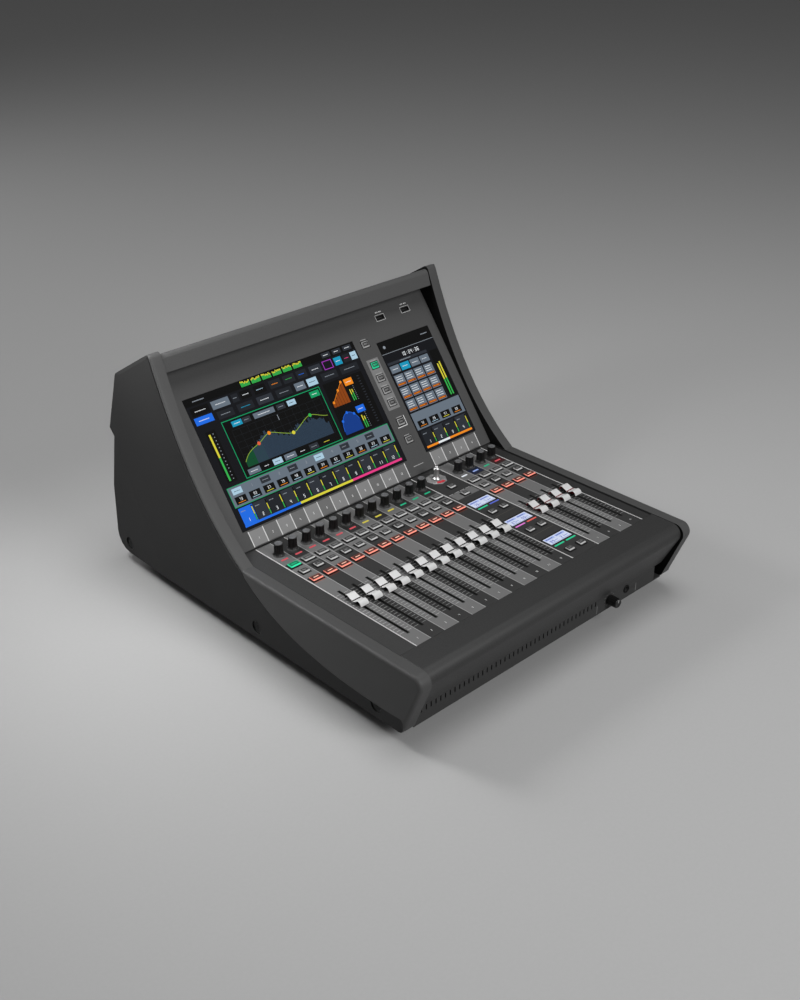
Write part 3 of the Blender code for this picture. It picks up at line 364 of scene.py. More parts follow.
def arcAt(before, corner, after, radius, steps):
    # side view points are y + z i; an arc of the radius takes the place of a corner
    start = (before - corner) / abs(before - corner)
    end = (after - corner) / abs(after - corner)
    half = abs(np.angle(end / start)) / 2
    centre = corner + (start + end) / abs(start + end) * radius / np.sin(half)
    first = corner + start * radius / np.tan(half) - centre
    last = corner + end * radius / np.tan(half) - centre
    return centre + first * np.exp(1j * np.angle(last / first) * np.linspace(0, 1, steps + 1))


def bow(start, pull, end, steps):  # quadratic curve from start to end, drawn towards the pull point
    t = np.linspace(0, 1, steps + 1)
    return start * (1 - t) ** 2 + 2 * pull * t * (1 - t) + end * t ** 2


def insetLine(line, distance, closed=True):  # each point moved to its left along the mitre
    before, after = np.roll(line, 1), np.roll(line, -1)
    if not closed:
        before[0], after[-1] = 2 * line[0] - line[1], 2 * line[-1] - line[-2]
    left = 1j * (line - before) / abs(line - before)
    right = 1j * (after - line) / abs(after - line)
    middle = (left + right) / abs(left + right)
    return line + middle * distance / np.maximum(0.3, (middle * np.conj(left)).real)


def lineMeet(a, b, c, d):  # where the line a b meets the line c d
    along, other, gap = b - a, d - c, c - a
    return a + along * (np.conj(gap) * other).imag / (np.conj(along) * other).imag


def linked(name, data):  # a new object in the scene
    item = bpy.data.objects.new(name, data)
    scene.collection.objects.link(item)
    return item


def makePiece(name, shapes, finishes, body, stands=(), sharp=35.0, tints=None):
    # shapes are (points, faces, finish number or one per face); faces are turned outwards
    points, faces, marks, start = [], [], [], 0
    for shapePoints, shapeFaces, mark in shapes:
        points.append(shapePoints)
        faces += [[i + start for i in face] for face in shapeFaces]
        marks.append(np.broadcast_to(mark, len(shapeFaces)))
        start += len(shapePoints)
    mesh = bpy.data.meshes.new(name)
    mesh.from_pydata((np.vstack(points) * mm).tolist(), [], faces)
    for material in finishes:
        mesh.materials.append(material)
    mesh.polygons.foreach_set("material_index", np.concatenate(marks).astype(np.int32))
    work = bmesh.new()
    work.from_mesh(mesh)
    bmesh.ops.recalc_face_normals(work, faces=work.faces)
    work.to_mesh(mesh)
    work.free()
    mesh.shade_smooth()
    mesh.set_sharp_from_angle(angle=np.radians(sharp))
    if tints is not None:
        sizes = [len(face) for face in faces]
        colours = np.column_stack([np.repeat(tints, sizes, axis=0), np.ones(sum(sizes))])
        mesh.color_attributes.new("tint", "FLOAT_COLOR", "CORNER").data.foreach_set("color", colours.ravel())
    piece = linked(name, mesh)
    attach(piece, body)
    if stands:
        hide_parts(*stands)


def dressed(name, node, finish, edgeMm, sharp=30.0):
    # copy of a solid: doubles merged, flat faces joined, then a rolled edge
    mesh = frame["nodes"][node].data.copy()
    mesh.name = name
    work = bmesh.new()
    work.from_mesh(mesh)
    bmesh.ops.remove_doubles(work, verts=work.verts, dist=0.01 * mm)
    bmesh.ops.dissolve_limit(work, angle_limit=np.radians(0.6), verts=work.verts, edges=work.edges)
    work.to_mesh(mesh)
    work.free()
    mesh.materials.clear()
    mesh.materials.append(finish)
    mesh.shade_smooth()
    mesh.set_sharp_from_angle(angle=np.radians(sharp))
    piece = linked(name, mesh)
    roll = piece.modifiers.new("rolled edge", "BEVEL")
    roll.width, roll.segments, roll.angle_limit = edgeMm * mm, 2, np.radians(30)
    roll.harden_normals = True
    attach(piece, "console")
    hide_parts(node)


# flat artwork: thin closed slabs with one tint each, laid on a plane
def newArt(names=None, layers=None):  # colours may be given by name, and lifts by the number of their layer
    return {"names": names or {}, "layers": layers, "quads": [], "lifts": [], "tints": []}


def addQuads(art, quads, colour, lift):  # quads are corners in the plane, lift is their height
    quads = np.asarray(quads, float).reshape(-1, 4, 2)
    height = art["layers"][lift] if art["layers"] else lift
    art["quads"].append(quads)
    art["lifts"].append(np.full(len(quads), height))
    art["tints"].append(np.tile(linear(art["names"].get(colour, colour)), (len(quads), 1)))


def addRects(art, boxes, colour, lift):  # boxes are (left, low, right, high)
    left, low, right, high = np.atleast_2d(np.asarray(boxes, float)).T
    corners = [np.stack(pair, -1) for pair in ((left, low), (right, low), (right, high), (left, high))]
    addQuads(art, np.stack(corners, 1), colour, lift)


def addFrame(art, left, low, right, high, width, colour, lift):  # four bars inside a box
    addRects(art, [(left, low, right, low + width), (left, high - width, right, high),
                   (left, low + width, left + width, high - width),
                   (right - width, low + width, right, high - width)], colour, lift)


def addLine(art, x, y, width, colour, lift):  # band of a width along a polyline
    line = np.asarray(x, float) + 1j * np.asarray(y, float)
    left, right = insetLine(line, width / 2, False), insetLine(line, -width / 2, False)
    quads = np.stack([right[:-1], right[1:], left[1:], left[:-1]], 1)
    addQuads(art, np.stack([quads.real, quads.imag], -1), colour, lift)


def addUnder(art, x, low, high, colour, lift):  # upright quads between two lines over x
    x, low, high = np.broadcast_arrays(np.asarray(x, float), low, high)
    low, high = np.minimum(low, high - 0.02), high
    corners = [np.stack(pair, -1) for pair in ((x[:-1], low[:-1]), (x[1:], low[1:]), (x[1:], high[1:]),
                                               (x[:-1], high[:-1]))]
    addQuads(art, np.stack(corners, 1), colour, lift)


def addDisc(art, x, y, radius, colour, lift):  # eight-sided dot as three quads
    turn = (np.arange(8) + 0.5) * np.pi / 4
    rim = np.column_stack([x + radius * np.cos(turn), y + radius * np.sin(turn)])
    addQuads(art, rim[[[0, 1, 2, 3], [0, 3, 4, 7], [4, 5, 6, 7]]], colour, lift)


strokesOf = {"0": "abcdef", "1": "bc", "2": "abged", "3": "abgcd", "4": "fgbc", "5": "afgcd", "6": "afgedc",
             "7": "abc", "8": "abcdefg", "9": "abcdfg", ":": "xy"}


def addNumber(art, text, x, y, height, colour, lift, spread=0.78):
    # digits of seven straight strokes, centred on x and y
    w, h, t = height * 0.5, height, height * 0.13
    bars = {"a": (0, h - t, w, h), "b": (w - t, h / 2, w, h), "c": (w - t, 0, w, h / 2), "d": (0, 0, w, t),
            "e": (0, 0, t, h / 2), "f": (0, h / 2, t, h), "g": (0, h / 2 - t / 2, w, h / 2 + t / 2),
            "x": (w / 2 - t / 2, h * 0.25, w / 2 + t / 2, h * 0.25 + t),
            "y": (w / 2 - t / 2, h * 0.65, w / 2 + t / 2, h * 0.65 + t)}
    start = x - height * spread * len(text) / 2 + height * (spread - 0.5) / 2
    boxes = []
    for i, sign in enumerate(text):
        shift = np.array([start + i * height * spread, y - h / 2] * 2)
        boxes += [np.array(bars[stroke]) + shift for stroke in strokesOf[sign]]
    addRects(art, boxes, colour, lift)


def artPiece(name, art, place, finish, thick=0.04):
    quads = np.concatenate(art["quads"])
    lifts = np.concatenate(art["lifts"])[:, None, None] * np.ones((1, 4, 1))
    solid = np.concatenate([np.concatenate([quads, lifts - thick], 2), np.concatenate([quads, lifts], 2)], 1)
    pattern = np.array([[3, 2, 1, 0], [4, 5, 6, 7], [0, 1, 5, 4], [1, 2, 6, 5], [2, 3, 7, 6], [3, 0, 4, 7]])
    faces = (pattern[None] + 8 * np.arange(len(quads))[:, None, None]).reshape(-1, 4).tolist()
    tints = np.repeat(np.concatenate(art["tints"]), 6, axis=0)
    makePiece(name, [(place(solid.reshape(-1, 3)), faces, 0)], [finish], "console", tints=tints)


# side rails: the outline lofted out to a pocket floor, then the rim and cheek carried on to a rolled shoulder
sideShape = dict(depth=564.0, inside=0.07, noseRadius=12.5, cheekLean=21.5, cheekFootRadius=8.0,
                 rimAhead=27.0, rimFootSlope=35.0, rimTopSlope=69.0, topRadius=6.0, screenLength=171.5,
                 hoodAhead=9.3, hoodRise=67.0, hoodDrop=47.0, hoodRun=76.0, rearTopRadius=12.0,
                 notchRise=178.0, notchOverhang=13.4, notchStep=8.5, notchHeight=9.5, rearLean=4.0,
                 rearBulgeRise=94.0, rearFootRadius=24.0, creaseRun=106.0, creaseSlope=1.5,
                 creaseHeadDrop=4.6, shoulder=5.0, thickness=17.0, coverThickness=2.0, gap=0.3,
                 coverFromRim=3.0, coverFrontRise=18.0, sweepBack=78.0, sweepSag=74.5, groove=(1.1, 0.35))


def sideMarks(s):  # named corners of the side view, as y + z i
    nose, rear = -s["depth"] / 2, s["depth"] / 2
    lean, rearLean = np.radians(s["cheekLean"]), np.radians(s["rearLean"])
    m = {"rail": complex(deckFront, deckZ)}
    screenTop = complex(lipY, lipZ) + (lipLength + s["screenLength"]) * complex(slopeCos, slopeSin)
    m["hoodTop"] = screenTop + complex(s["hoodAhead"], s["hoodRise"])
    reach = s["noseRadius"] / np.tan((np.pi / 2 - lean) / 2) - s["noseRadius"]
    m["nose"] = complex(nose - reach, deckZ)
    m["cheekFoot"] = complex(m["nose"].real + (deckZ - baseZ) * np.tan(lean), baseZ)
    m["rearTop"] = m["hoodTop"] + complex(s["hoodRun"], -s["hoodDrop"])
    m["notch"] = complex(rear - s["notchOverhang"], baseZ + s["notchRise"])
    m["notchFoot"] = m["notch"] - complex(s["notchStep"], s["notchHeight"])
    reach = s["rearFootRadius"] / np.tan((np.pi / 2 - rearLean) / 2) - s["rearFootRadius"]
    m["rearFoot"] = complex(rear + reach, baseZ)
    m["bulge"] = m["rearFoot"] + s["rearBulgeRise"] * complex(-np.tan(rearLean), 1)
    m["rimFoot"] = complex(lipY - s["rimAhead"], deckZ)
    m["creaseFoot"] = complex(rear - s["creaseRun"], baseZ)
    fall = m["bulge"] - m["notchFoot"]
    m["creaseHead"] = m["notchFoot"] + fall / abs(fall) * s["creaseHeadDrop"]
    return m


marks = sideMarks(sideShape)


def creaseDepth(line):  # how far the side turns in, by the distance behind the crease
    along = marks["creaseHead"] - marks["creaseFoot"]
    behind = -(np.conj(along / abs(along)) * (line - marks["creaseFoot"])).imag
    return np.tan(np.radians(sideShape["creaseSlope"])) * np.maximum(0.0, behind)


def sideOutline():  # anticlockwise from the cheek's foot; also where the crease and the rim start and end
    s, m = sideShape, marks
    rimSlope = np.exp(1j * np.radians(s["rimTopSlope"]))
    footSlope = np.exp(1j * np.radians(s["rimFootSlope"]))
    half = abs(np.angle((m["rearTop"] - m["hoodTop"]) / -rimSlope)) / 2
    rimEnd = m["hoodTop"] - rimSlope * s["topRadius"] / np.tan(half)
    rimBend = lineMeet(m["rimFoot"], m["rimFoot"] + footSlope, rimEnd, m["hoodTop"])
    foot = arcAt(m["nose"], m["cheekFoot"], m["creaseFoot"], s["cheekFootRadius"], 8)
    nose = arcAt(m["rail"], m["nose"], m["cheekFoot"], s["noseRadius"], 20)
    runs = [foot, [m["creaseFoot"]],
            arcAt(m["creaseFoot"], m["rearFoot"], m["bulge"], s["rearFootRadius"], 10), [m["bulge"]],
            [m["creaseHead"], m["notchFoot"], m["notch"]],
            arcAt(m["notch"], m["rearTop"], m["hoodTop"], s["rearTopRadius"], 8),
            arcAt(m["rearTop"], m["hoodTop"], rimEnd, s["topRadius"], 8),
            bow(m["rimFoot"], rimBend, rimEnd, 40)[::-1][1:], np.linspace(m["rimFoot"], m["rail"], 30)[1:],
            nose, np.linspace(nose[-1], foot[0], 10)[1:-1]]
    ends = np.cumsum([len(run) for run in runs])
    line = insetLine(np.concatenate(runs), s["inside"])  # a hair inside the facets of the solid
    return line, (ends[0], ends[3]), (ends[6] - 5, ends[7])


def coverEdge(line, rim):  # the cover's edge: inside the rim, then the sweep down to the foot of the cheek
    s, m = sideShape, marks
    inside = insetLine(line, s["coverFromRim"])[rim[0]:rim[1]]
    front = m["cheekFoot"] + 1j * s["coverFrontRise"]
    bend = m["rimFoot"] - complex(s["sweepBack"], s["sweepSag"])
    return np.concatenate([inside, bow(inside[-1], bend, front, 40)[1:], [insetLine(line, 0.5)[2]]])


def railBand(line, rim):  # one ring per step along the rim and the cheek: rolled shoulder, groove wall, floor
    s = sideShape
    steps = np.append(np.arange(rim[0], len(line)), 0)
    count = rim[1] - rim[0]
    cover = coverEdge(line, rim)
    groove = np.interp(np.arange(len(cover)), [count, len(cover) - 1], s["groove"])
    wall = insetLine(cover, -groove, False)
    runIn = np.append(0, np.cumsum(abs(np.diff(wall[count - 1:]))))
    runOut = np.append(0, np.cumsum(abs(np.diff(line[steps[count - 1:]]))))
    along = np.interp(runOut / runOut[-1] * runIn[-1], runIn, np.arange(len(runIn))) + count - 1
    spots = np.concatenate([np.arange(count - 1), along])
    order = np.arange(len(wall))
    wall = np.interp(spots, order, wall.real) + 1j * np.interp(spots, order, wall.imag)
    floor = s["coverThickness"] + s["gap"]
    first = np.arcsin(1 - floor / s["shoulder"])
    room = np.minimum(s["shoulder"], 0.88 * abs(line[steps] - wall))
    last = np.maximum(np.arccos(1 - room / s["shoulder"]), first + 0.02)
    columns = []
    for share in np.linspace(0, 1, 8):
        turn = first + (last - first) * share
        inward = np.zeros(len(line))
        inward[steps] = s["shoulder"] * (1 - np.cos(turn))
        edge = insetLine(line, inward)[steps]
        columns.append((halfWidth - s["shoulder"] * (1 - np.sin(turn)), edge))
    low = np.full(len(steps), halfWidth - floor - 0.2)
    columns = [(low, columns[0][1])] + columns + [(columns[-1][0], wall), (low, wall)]
    return np.stack([acrossAt(x, edge) for x, edge in columns], 1)


def sideRail(side, name, node):
    s = sideShape
    line, crease, rim = sideOutline()
    low, high = crease
    floor = s["coverThickness"] + s["gap"]
    rings = [acrossAt(halfWidth - s["thickness"], line)]
    for turn in np.linspace(0, np.arcsin(1 - floor / s["shoulder"]), 4):
        edge = insetLine(line, s["shoulder"] * (1 - np.cos(turn)))
        for spot in crease:  # these two stay on the crease
            edge[spot] = lineMeet(edge[spot - 1], edge[spot + 1], line[low], line[high])
        across = halfWidth - s["shoulder"] * (1 - np.sin(turn)) - creaseDepth(edge)
        rings.append(acrossAt(across, edge))
    mirror = np.array([side, 1, 1])
    points, faces = loft(np.array(rings) * mirror)
    outer = faces.pop()  # the pocket floor is two flats that meet at the crease
    finish = np.zeros(len(faces) + 2, int)
    # painted shade: the rail's inner flat is black to stand in for the shadow on it
    finish[len(faces) - 1] = 1  # the flat towards the deck is black
    faces += [outer[low:high + 1], outer[high:] + outer[:low + 1]]
    band = loft(railBand(line, rim) * mirror)
    makePiece(name, [(points, faces, finish), (*band, 0)], [railAbsLit, blackAbsAndShade], "console",
              [node], 28.0)


sideRail(-1, "leftRail", "side_frame_left")
sideRail(1, "rightRail", "side_frame_right")
dressed("leftCover", "side_cover_left", coverAbsShaded, 0.5, 1.0)
dressed("rightCover", "side_cover_right", coverAbsShaded, 0.5, 1.0)

coverScrew = dict(places=(complex(-215, 34.9), complex(-11, 34.9), complex(254, 34.9)), radius=7.6, depth=3.8,
                  rise=2.0, socketRadius=2.6)


def coverScrews():  # low domed heads with a six-sided socket, at the bottom of each recess
    c = coverScrew
    r, rise, socket = c["radius"], c["rise"], c["socketRadius"]
    head = turned([(r, -0.3), (r, 0.4), (r * 0.95, rise * 0.55), (r * 0.8, rise * 0.85), (r * 0.55, rise),
                   (socket + 0.4, rise), (socket, rise - 0.15)], 36)
    # the socket's black floor is painted shade inside the socket
    wellShade = turned([(socket, rise - 0.2), (socket * 0.98, rise - 0.1)], 6)
    for side, name in ((-1, "leftScrews"), (1, "rightScrews")):
        shapes = []
        for spot in c["places"]:
            floor = halfWidth - c["depth"] - creaseDepth(np.array([spot]))[0]
            for (points, faces), mark in ((head, 0), (wellShade, 1)):
                x, y, z = points.T
                shapes.append((acrossAt(side * (floor + z), spot + x + 1j * y), faces, mark))
        makePiece(name, shapes, [coverAbsShaded, blackAbsAndShade], "console")


coverScrews()
print("stage: sides done")

# armrest: side view path of the skin given a wall, carried across with its ends rolled in
armShape = dict(setback=1.2, wall=3.0, hem=8.0, wallRise=21.5, gap=0.3, endRoll=0.8)


def armrest():
    a, m = armShape, marks
    edge = complex(deckFront - a["gap"], deckZ)
    corner = m["nose"] + a["setback"]
    end = complex(wallY - a["gap"], baseZ + a["wallRise"] + a["gap"])
    path = np.concatenate([[edge, edge - 0.6], arcAt(edge, corner, end, sideShape["noseRadius"], 24),
                           [end, end + a["hem"]]])
    outline = np.concatenate([path, insetLine(path, a["wall"], False)[::-1]])
    rings = []
    for x, roll in ((-deckHalf, a["endRoll"]), (a["endRoll"] - deckHalf, 0), (deckHalf - a["endRoll"], 0),
                    (deckHalf, a["endRoll"])):
        line = insetLine(outline, roll) if roll else outline
        rings.append(acrossAt(x, line))
    makePiece("armrestSkin", [(*loft(rings), 0)], [armSkin], "console", ["armrest"])


armrest()
dressed("hoodShell", "top_hood", hoodCoat, 0.9)
dressed("bezelPlate", "display_bezel", bezelCoat, 0.35)
dressed("bottomTray", "base_pan", trayCoat, 0.3)
dressed("rearSheet", "rear_panel", rearCoat, 0.4)
print("stage: sheets done")

# deck: printed strips, lines, scales and numbers round the openings; ahead is towards the armrest
deckPlan = dict(ledAhead=13.5, numberBack=10.3, slotSpare=6.4, keysAhead=(23.5, 48.0), labelAhead=28.2,
                labelPitch=62.3, pairAhead=28.5, pairHalf=10.3, barAhead=12.3)
# the well colour is painted shade: rims round the openings, and the groove by the right rail
deckPrint = dict(light="#666666", dark="#2f2f2f", ledLightShaded="#606060", ledDarkShaded="#272727", selectBand="#575757",
                 line="#949494", edgeLine="#bdbdbd", tick="#a8a8a8", tickOnDark="#868686", block="#262626",
                 wellShade="#060606", number="#dddddd", panel="#646464", column="#2f2f2f", margin="#2a2a2a",
                 divider="#57534c", glowLight="#8a5c54", glowDark="#5a2a23",
                 spill={13: "#1a2138", 15: "#3a1c1d"},
                 tickFrom=4.0, tickPitch=5.4, tickCount=20, tickReach=(2.6, 8.6), tickHalf=0.3, blockGap=0.9,
                 wellShadeWidth=1.5, slotRim=0.75, lineHalf=0.45, edgeHalf=0.65, bandHalf=9.5, spillHalf=6.5,
                 glowDepth=1.6, glowBeside=0.6, labelRim=1.6, edgeGap=4.2, numberHigh=2.6, panelHalf=20.0,
                 panelEnds=(-6.5, 8.5), dashes=(10.0, 7.5, 0.6, 1.4), dividerHalf=19.0,
                 dividerEnds=(-40.2, -39.8))
selectKey, cueKey, onKey, centreKey = (15.0, 9.0), (10.6, 8.4), (15.0, 9.2), (9.6, 8.0)
screenKey, labelSize = (11.5, 8.4), (37.5, 15.0)
keyGap, slotHalf = 0.3, 1.2
ledY, numberY = encoderY - deckPlan["ledAhead"], deckFront + deckPlan["numberBack"]
slotLow = faderY + faderRange[0] - deckPlan["slotSpare"]
slotHigh = faderY + faderRange[1] + deckPlan["slotSpare"]
keyA, keyB = [encoderY - ahead for ahead in deckPlan["keysAhead"]]
labelY = keyB - deckPlan["labelAhead"] - deckPlan["labelPitch"] * np.arange(3)
pairX = columnX + deckPlan["pairHalf"] * np.array([-1, 1])
columnKeys = [(columnX, keyA), (columnX, keyB)]
columnKeys += [(x, y - deckPlan["pairAhead"]) for y in labelY for x in pairX]
deckEnds = (deckFront + 0.3, lipY - 0.5)  # the print stops just short of the deck's two edges


def stripNumber(i):  # the four strips on the right count from 1 again
    return str(i + 1 if i < 12 else i - 11)


def openingBox(x, y, size, extra):  # a key's opening, widened by extra
    left, low = x - size[0] / 2 - extra, y - size[1] / 2 - extra
    return left, low, x + size[0] / 2 + extra, y + size[1] / 2 + extra


def cutBoxes(box, holes):  # a box split on the holes' edges, less the cells that lie in a hole
    holes = np.array(holes, float).reshape(-1, 4)
    xs = np.unique(np.clip(np.concatenate([[box[0], box[2]], holes[:, 0], holes[:, 2]]), box[0], box[2]))
    ys = np.unique(np.clip(np.concatenate([[box[1], box[3]], holes[:, 1], holes[:, 3]]), box[1], box[3]))
    cells = np.array([(a, c, b, d) for c, d in zip(ys, ys[1:]) for a, b in zip(xs, xs[1:])])
    midX, midY = (cells[:, 0] + cells[:, 2]) / 2, (cells[:, 1] + cells[:, 3]) / 2
    inside = ((midX[:, None] > holes[:, 0]) & (midX[:, None] < holes[:, 2])
              & (midY[:, None] > holes[:, 1]) & (midY[:, None] < holes[:, 3])).any(1)
    return cells[~inside]


def stripHoles(x):
    return [openingBox(x, selectY, selectKey, keyGap), openingBox(x, cueY, cueKey, keyGap),
            openingBox(x, onY, onKey, keyGap), (x - slotHalf, slotLow, x + slotHalf, slotHigh)]


# painted shade: a dark rim printed round an opening, for the shadow in its well
def addWell(art, x, y, size, width, lift):  # dark rim round an opening
    hole = openingBox(x, y, size, keyGap)
    addRects(art, cutBoxes(openingBox(x, y, size, width), [hole]), "wellShade", lift)


def printStrip(art, number, x):
    d = deckPrint
    lit = number % 2 == 0
    left, right = x - pitch / 2, x + pitch / 2
    holes = stripHoles(x)
    # the zone from the select key up to the lip takes the strip's printed tone made a little darker, as
    # painted shade under the bezel's lip
    bands = [(deckEnds[0], selectY - d["bandHalf"], "light" if lit else "dark"),
             (selectY - d["bandHalf"], selectY + d["bandHalf"], "light" if lit else "selectBand"),
             (selectY + d["bandHalf"], deckEnds[1], "ledLightShaded" if lit else "ledDarkShaded")]
    for low, high, colour in bands:
        addRects(art, cutBoxes((left, low, right, high), holes), colour, 0.03)
    if number in d["spill"]:  # the lamp's own light on the dark zone round it
        addRects(art, (left, ledY - d["spillHalf"], right, ledY + d["spillHalf"]), d["spill"][number], 0.05)
    for y, size in ((selectY, selectKey), (cueY, cueKey), (onY, onKey)):
        addWell(art, x, y, size, d["wellShadeWidth"], 0.05)
    # painted shade: a black rim round the fader slot, for the dark inside the slot
    rim = d["slotRim"]
    slot = (x - slotHalf - rim, slotLow - rim, x + slotHalf + rim, slotHigh + rim)
    addRects(art, cutBoxes(slot, holes), "wellShade", 0.05)
    front = onY - onKey[1] / 2 - d["wellShadeWidth"]  # red light that falls on the deck ahead of the lit key
    glow = (x - onKey[0] / 2, front - d["glowDepth"], x + onKey[0] / 2 + d["glowBeside"], front)
    addRects(art, glow, "glowLight" if lit else "glowDark", 0.05)
    ticks = slotLow + d["tickFrom"] + d["tickPitch"] * np.arange(d["tickCount"])
    for side in (-1, 1):
        near, far = sorted(x + side * reach for reach in d["tickReach"])
        if not lit:
            blocks = [(near, y + d["blockGap"], far, y + d["tickPitch"] - d["blockGap"]) for y in ticks[:-1]]
            addRects(art, blocks, "block", 0.05)
        bars = [(near, y - d["tickHalf"], far, y + d["tickHalf"]) for y in ticks]
        addRects(art, bars, "tick" if lit else "tickOnDark", 0.07)
    addNumber(art, stripNumber(number), x, numberY, d["numberHigh"], "number", 0.07)


def printDeck():
    d = deckPrint
    art = newArt(deckPrint)
    for number, x in enumerate(stripX):
        printStrip(art, number, x)
    low, high = deckEnds
    for x in np.concatenate([stripX[1:12], stripX[13:]]) - pitch / 2:
        addRects(art, (x - d["lineHalf"], low, x + d["lineHalf"], high), "line", 0.08)
    for x in (mainLeft, mainRight, sideLeft, sideRight):
        addRects(art, (x - d["edgeHalf"], low, x + d["edgeHalf"], high), "edgeLine", 0.09)
    holes = [openingBox(*spot, centreKey, keyGap) for spot in columnKeys]
    holes += [openingBox(columnX, y, labelSize, keyGap) for y in labelY]
    addRects(art, cutBoxes((mainRight, low, sideLeft, high), holes), "column", 0.03)
    addRects(art, (sideRight, low, deckHalf - d["edgeGap"], high), "margin", 0.03)
    left, right = columnX - d["panelHalf"], columnX + d["panelHalf"]  # paler block round the second key
    front, rear = [keyB + end for end in d["panelEnds"]]
    addRects(art, cutBoxes((left, front, right, rear), holes), "panel", 0.05)
    step, long, near, far = d["dashes"]  # broken line along the block's rear edge
    dashes = [(x, rear + near, x + long, rear + far) for x in np.arange(left, right - long, step)]
    addRects(art, dashes, "tick", 0.08)
    # painted shade round the column keys and the sunken label displays
    for x, y in columnKeys:
        addWell(art, x, y, centreKey, d["wellShadeWidth"], 0.07)
    for y in labelY:
        addWell(art, columnX, y, labelSize, d["labelRim"], 0.06)
    left, right = columnX - d["dividerHalf"], columnX + d["dividerHalf"]
    for y in labelY[:-1]:
        addRects(art, (left, y + d["dividerEnds"][0], right, y + d["dividerEnds"][1]), "divider", 0.05)
    # painted shadow: a black band along the deck's right edge for the groove by the right rail
    addRects(art, (deckHalf - d["edgeGap"], low, deckHalf - 0.2, high), "wellShade", 0.05)
    artPiece("deckPrint", art, onDeck, deckInk, 0.06)


printDeck()

# lamps: domed bars, one tint each
lampBar = dict(half=(4.9, 1.3), labelHalf=(8.4, 1.1), rise=0.4, edge=0.2, red="#c9505a", yellow="#c9bd45",
               green="#1faa7e", white="#dfe4ea", blue="#8ea4dc")
lampOrder = ["red"] * 6 + ["yellow"] * 3 + ["green"] * 3 + ["white", "blue", "green", "red"]
labelBars = (("#28c590", "#5868c8"), ("#d878cc", "#d86058"), ("#28c590", "#28c590"))


def lampBars():
    shapes, tints = [], []
    lamps = [((x, ledY), lampBar["half"], lampBar[hue]) for x, hue in zip(stripX, lampOrder)]
    for y, pair in zip(labelY, labelBars):
        lamps += [((x, y - deckPlan["barAhead"]), lampBar["labelHalf"], hue) for x, hue in zip(pairX, pair)]
    for (x, y), half, hue in lamps:
        bar = slab(*half, -0.3, lampBar["rise"], 0.7, lampBar["edge"])
        shapes += placed([(*bar, 0)], onDeck, x, y)
        tints += [linear(hue)] * len(bar[1])
    makePiece("lampBars", shapes, [lampLight], "console", tints=np.array(tints))


lampBars()


# keys: a painted top on clear silicone that shows as a rim, wider where the front edge is cut back
keyShape = dict(rise=2.4, foot=-6.0, corner=0.8, edge=0.5, frontCut=1.4, frontDrop=1.1, window=(0.74, 0.76),
                windowLine=1.15, labelLine=1.95)


def keyCap(size, rise, topMark, edgeMark, windowMark, innerMark, lineName):
    k = keyShape
    halfX, halfY = size[0] / 2, size[1] / 2
    flat = roundRect(halfX, halfY, k["corner"])
    front = 0.5 - flat[:, 1] / (2 * halfY)  # 0 at the rear edge, 1 at the front
    top = np.column_stack([flat[:, 0] * (1 - k["edge"] / halfX),
                           np.interp(front, [0, 1], [halfY - k["edge"], -halfY + k["frontCut"]])])
    heights = (k["foot"], rise - k["edge"] - front * (k["frontDrop"] - k["edge"]), rise)
    points, faces = loft([ringAt(line, z) for line, z in zip((flat, flat, top), heights)])
    # painted shade: the key's sides are dark for the shadow in its well; the rim is the clear silicone and
    # the top is paint
    finish = np.concatenate([np.repeat((2, edgeMark), len(flat)), (2, topMark)])
    shapes = [(points, faces, finish)]
    shift = (k["frontCut"] - k["edge"]) / 2
    window = np.array([halfX * k["window"][0], (halfY - (k["edge"] + k["frontCut"]) / 2) * k["window"][1]])
    for inset, high, mark in ((0.0, 0.04, windowMark), (k[lineName], 0.08, innerMark)):
        pane = slab(*(window - inset), rise - 0.1, rise + high, 0.25, 0.02, 1)
        shapes.append((*moved(pane, (0, shift, 0)), mark))
    return shapes


def keyRow(name, node, spots, size, marksOfKeys, place=onDeck, rise=keyShape["rise"]):
    shapes = []
    for (x, y), keyMarks in zip(spots, marksOfKeys):
        shapes += placed(keyCap(size, rise, *keyMarks), place, x, y)
    makePiece(name, shapes, keyFinishes, node, [node])


keyFinishes = [keyGrey, keyPale, keyDarkAndShade, greenTop, greenEdge, greenDark, onTop, onEdge, onDark, onLabel]
# finish numbers of the top, rim, window line and window, and which line the window has
plainMarks, greenMarks = (0, 1, 2, 0, "windowLine"), (3, 4, 5, 3, "windowLine")
salmonMarks = (6, 7, 8, 9, "labelLine")
keyRow("selectCaps", "select_keys", [(x, selectY) for x in stripX], selectKey,
       [greenMarks] + [plainMarks] * 15)
keyRow("cueCaps", "cue_keys", [(x, cueY) for x in stripX], cueKey, [plainMarks] * 16)
keyRow("onCaps", "on_keys", [(x, onY) for x in stripX], onKey, [salmonMarks] * 16)
keyRow("columnCaps", "centre_keys", columnKeys, centreKey, [plainMarks] * 8)
print("stage: keys done")

# encoders: a grey skirt, a bell profile with cosine flutes, a dished top, and a ring under each
encoderShape = dict(profile=[(4.0, 0.6), (6.7, 0.7), (6.9, 0.9), (6.8, 1.2), (6.5, 1.4), (6.2, 1.9),
                             (5.8, 3.2), (5.55, 5.5), (5.45, 8.5), (5.4, 11.5), (5.35, 14.4), (5.15, 15.3),
                             (4.75, 15.8), (4.3, 16.1), (3.8, 15.8), (2.6, 15.5), (1.0, 15.4)],
                    flutes=18, depth=0.75, fluted=(3.0, 14.6), skirtRings=4, topRing=12)
stalkShape = [(2.9, -6.0), (2.9, 1.0)]
ringShape = [(7.6, -0.1), (7.6, 0.25), (7.3, 0.4), (6.7, 0.4), (6.5, 0.25), (5.0, 0.2)]


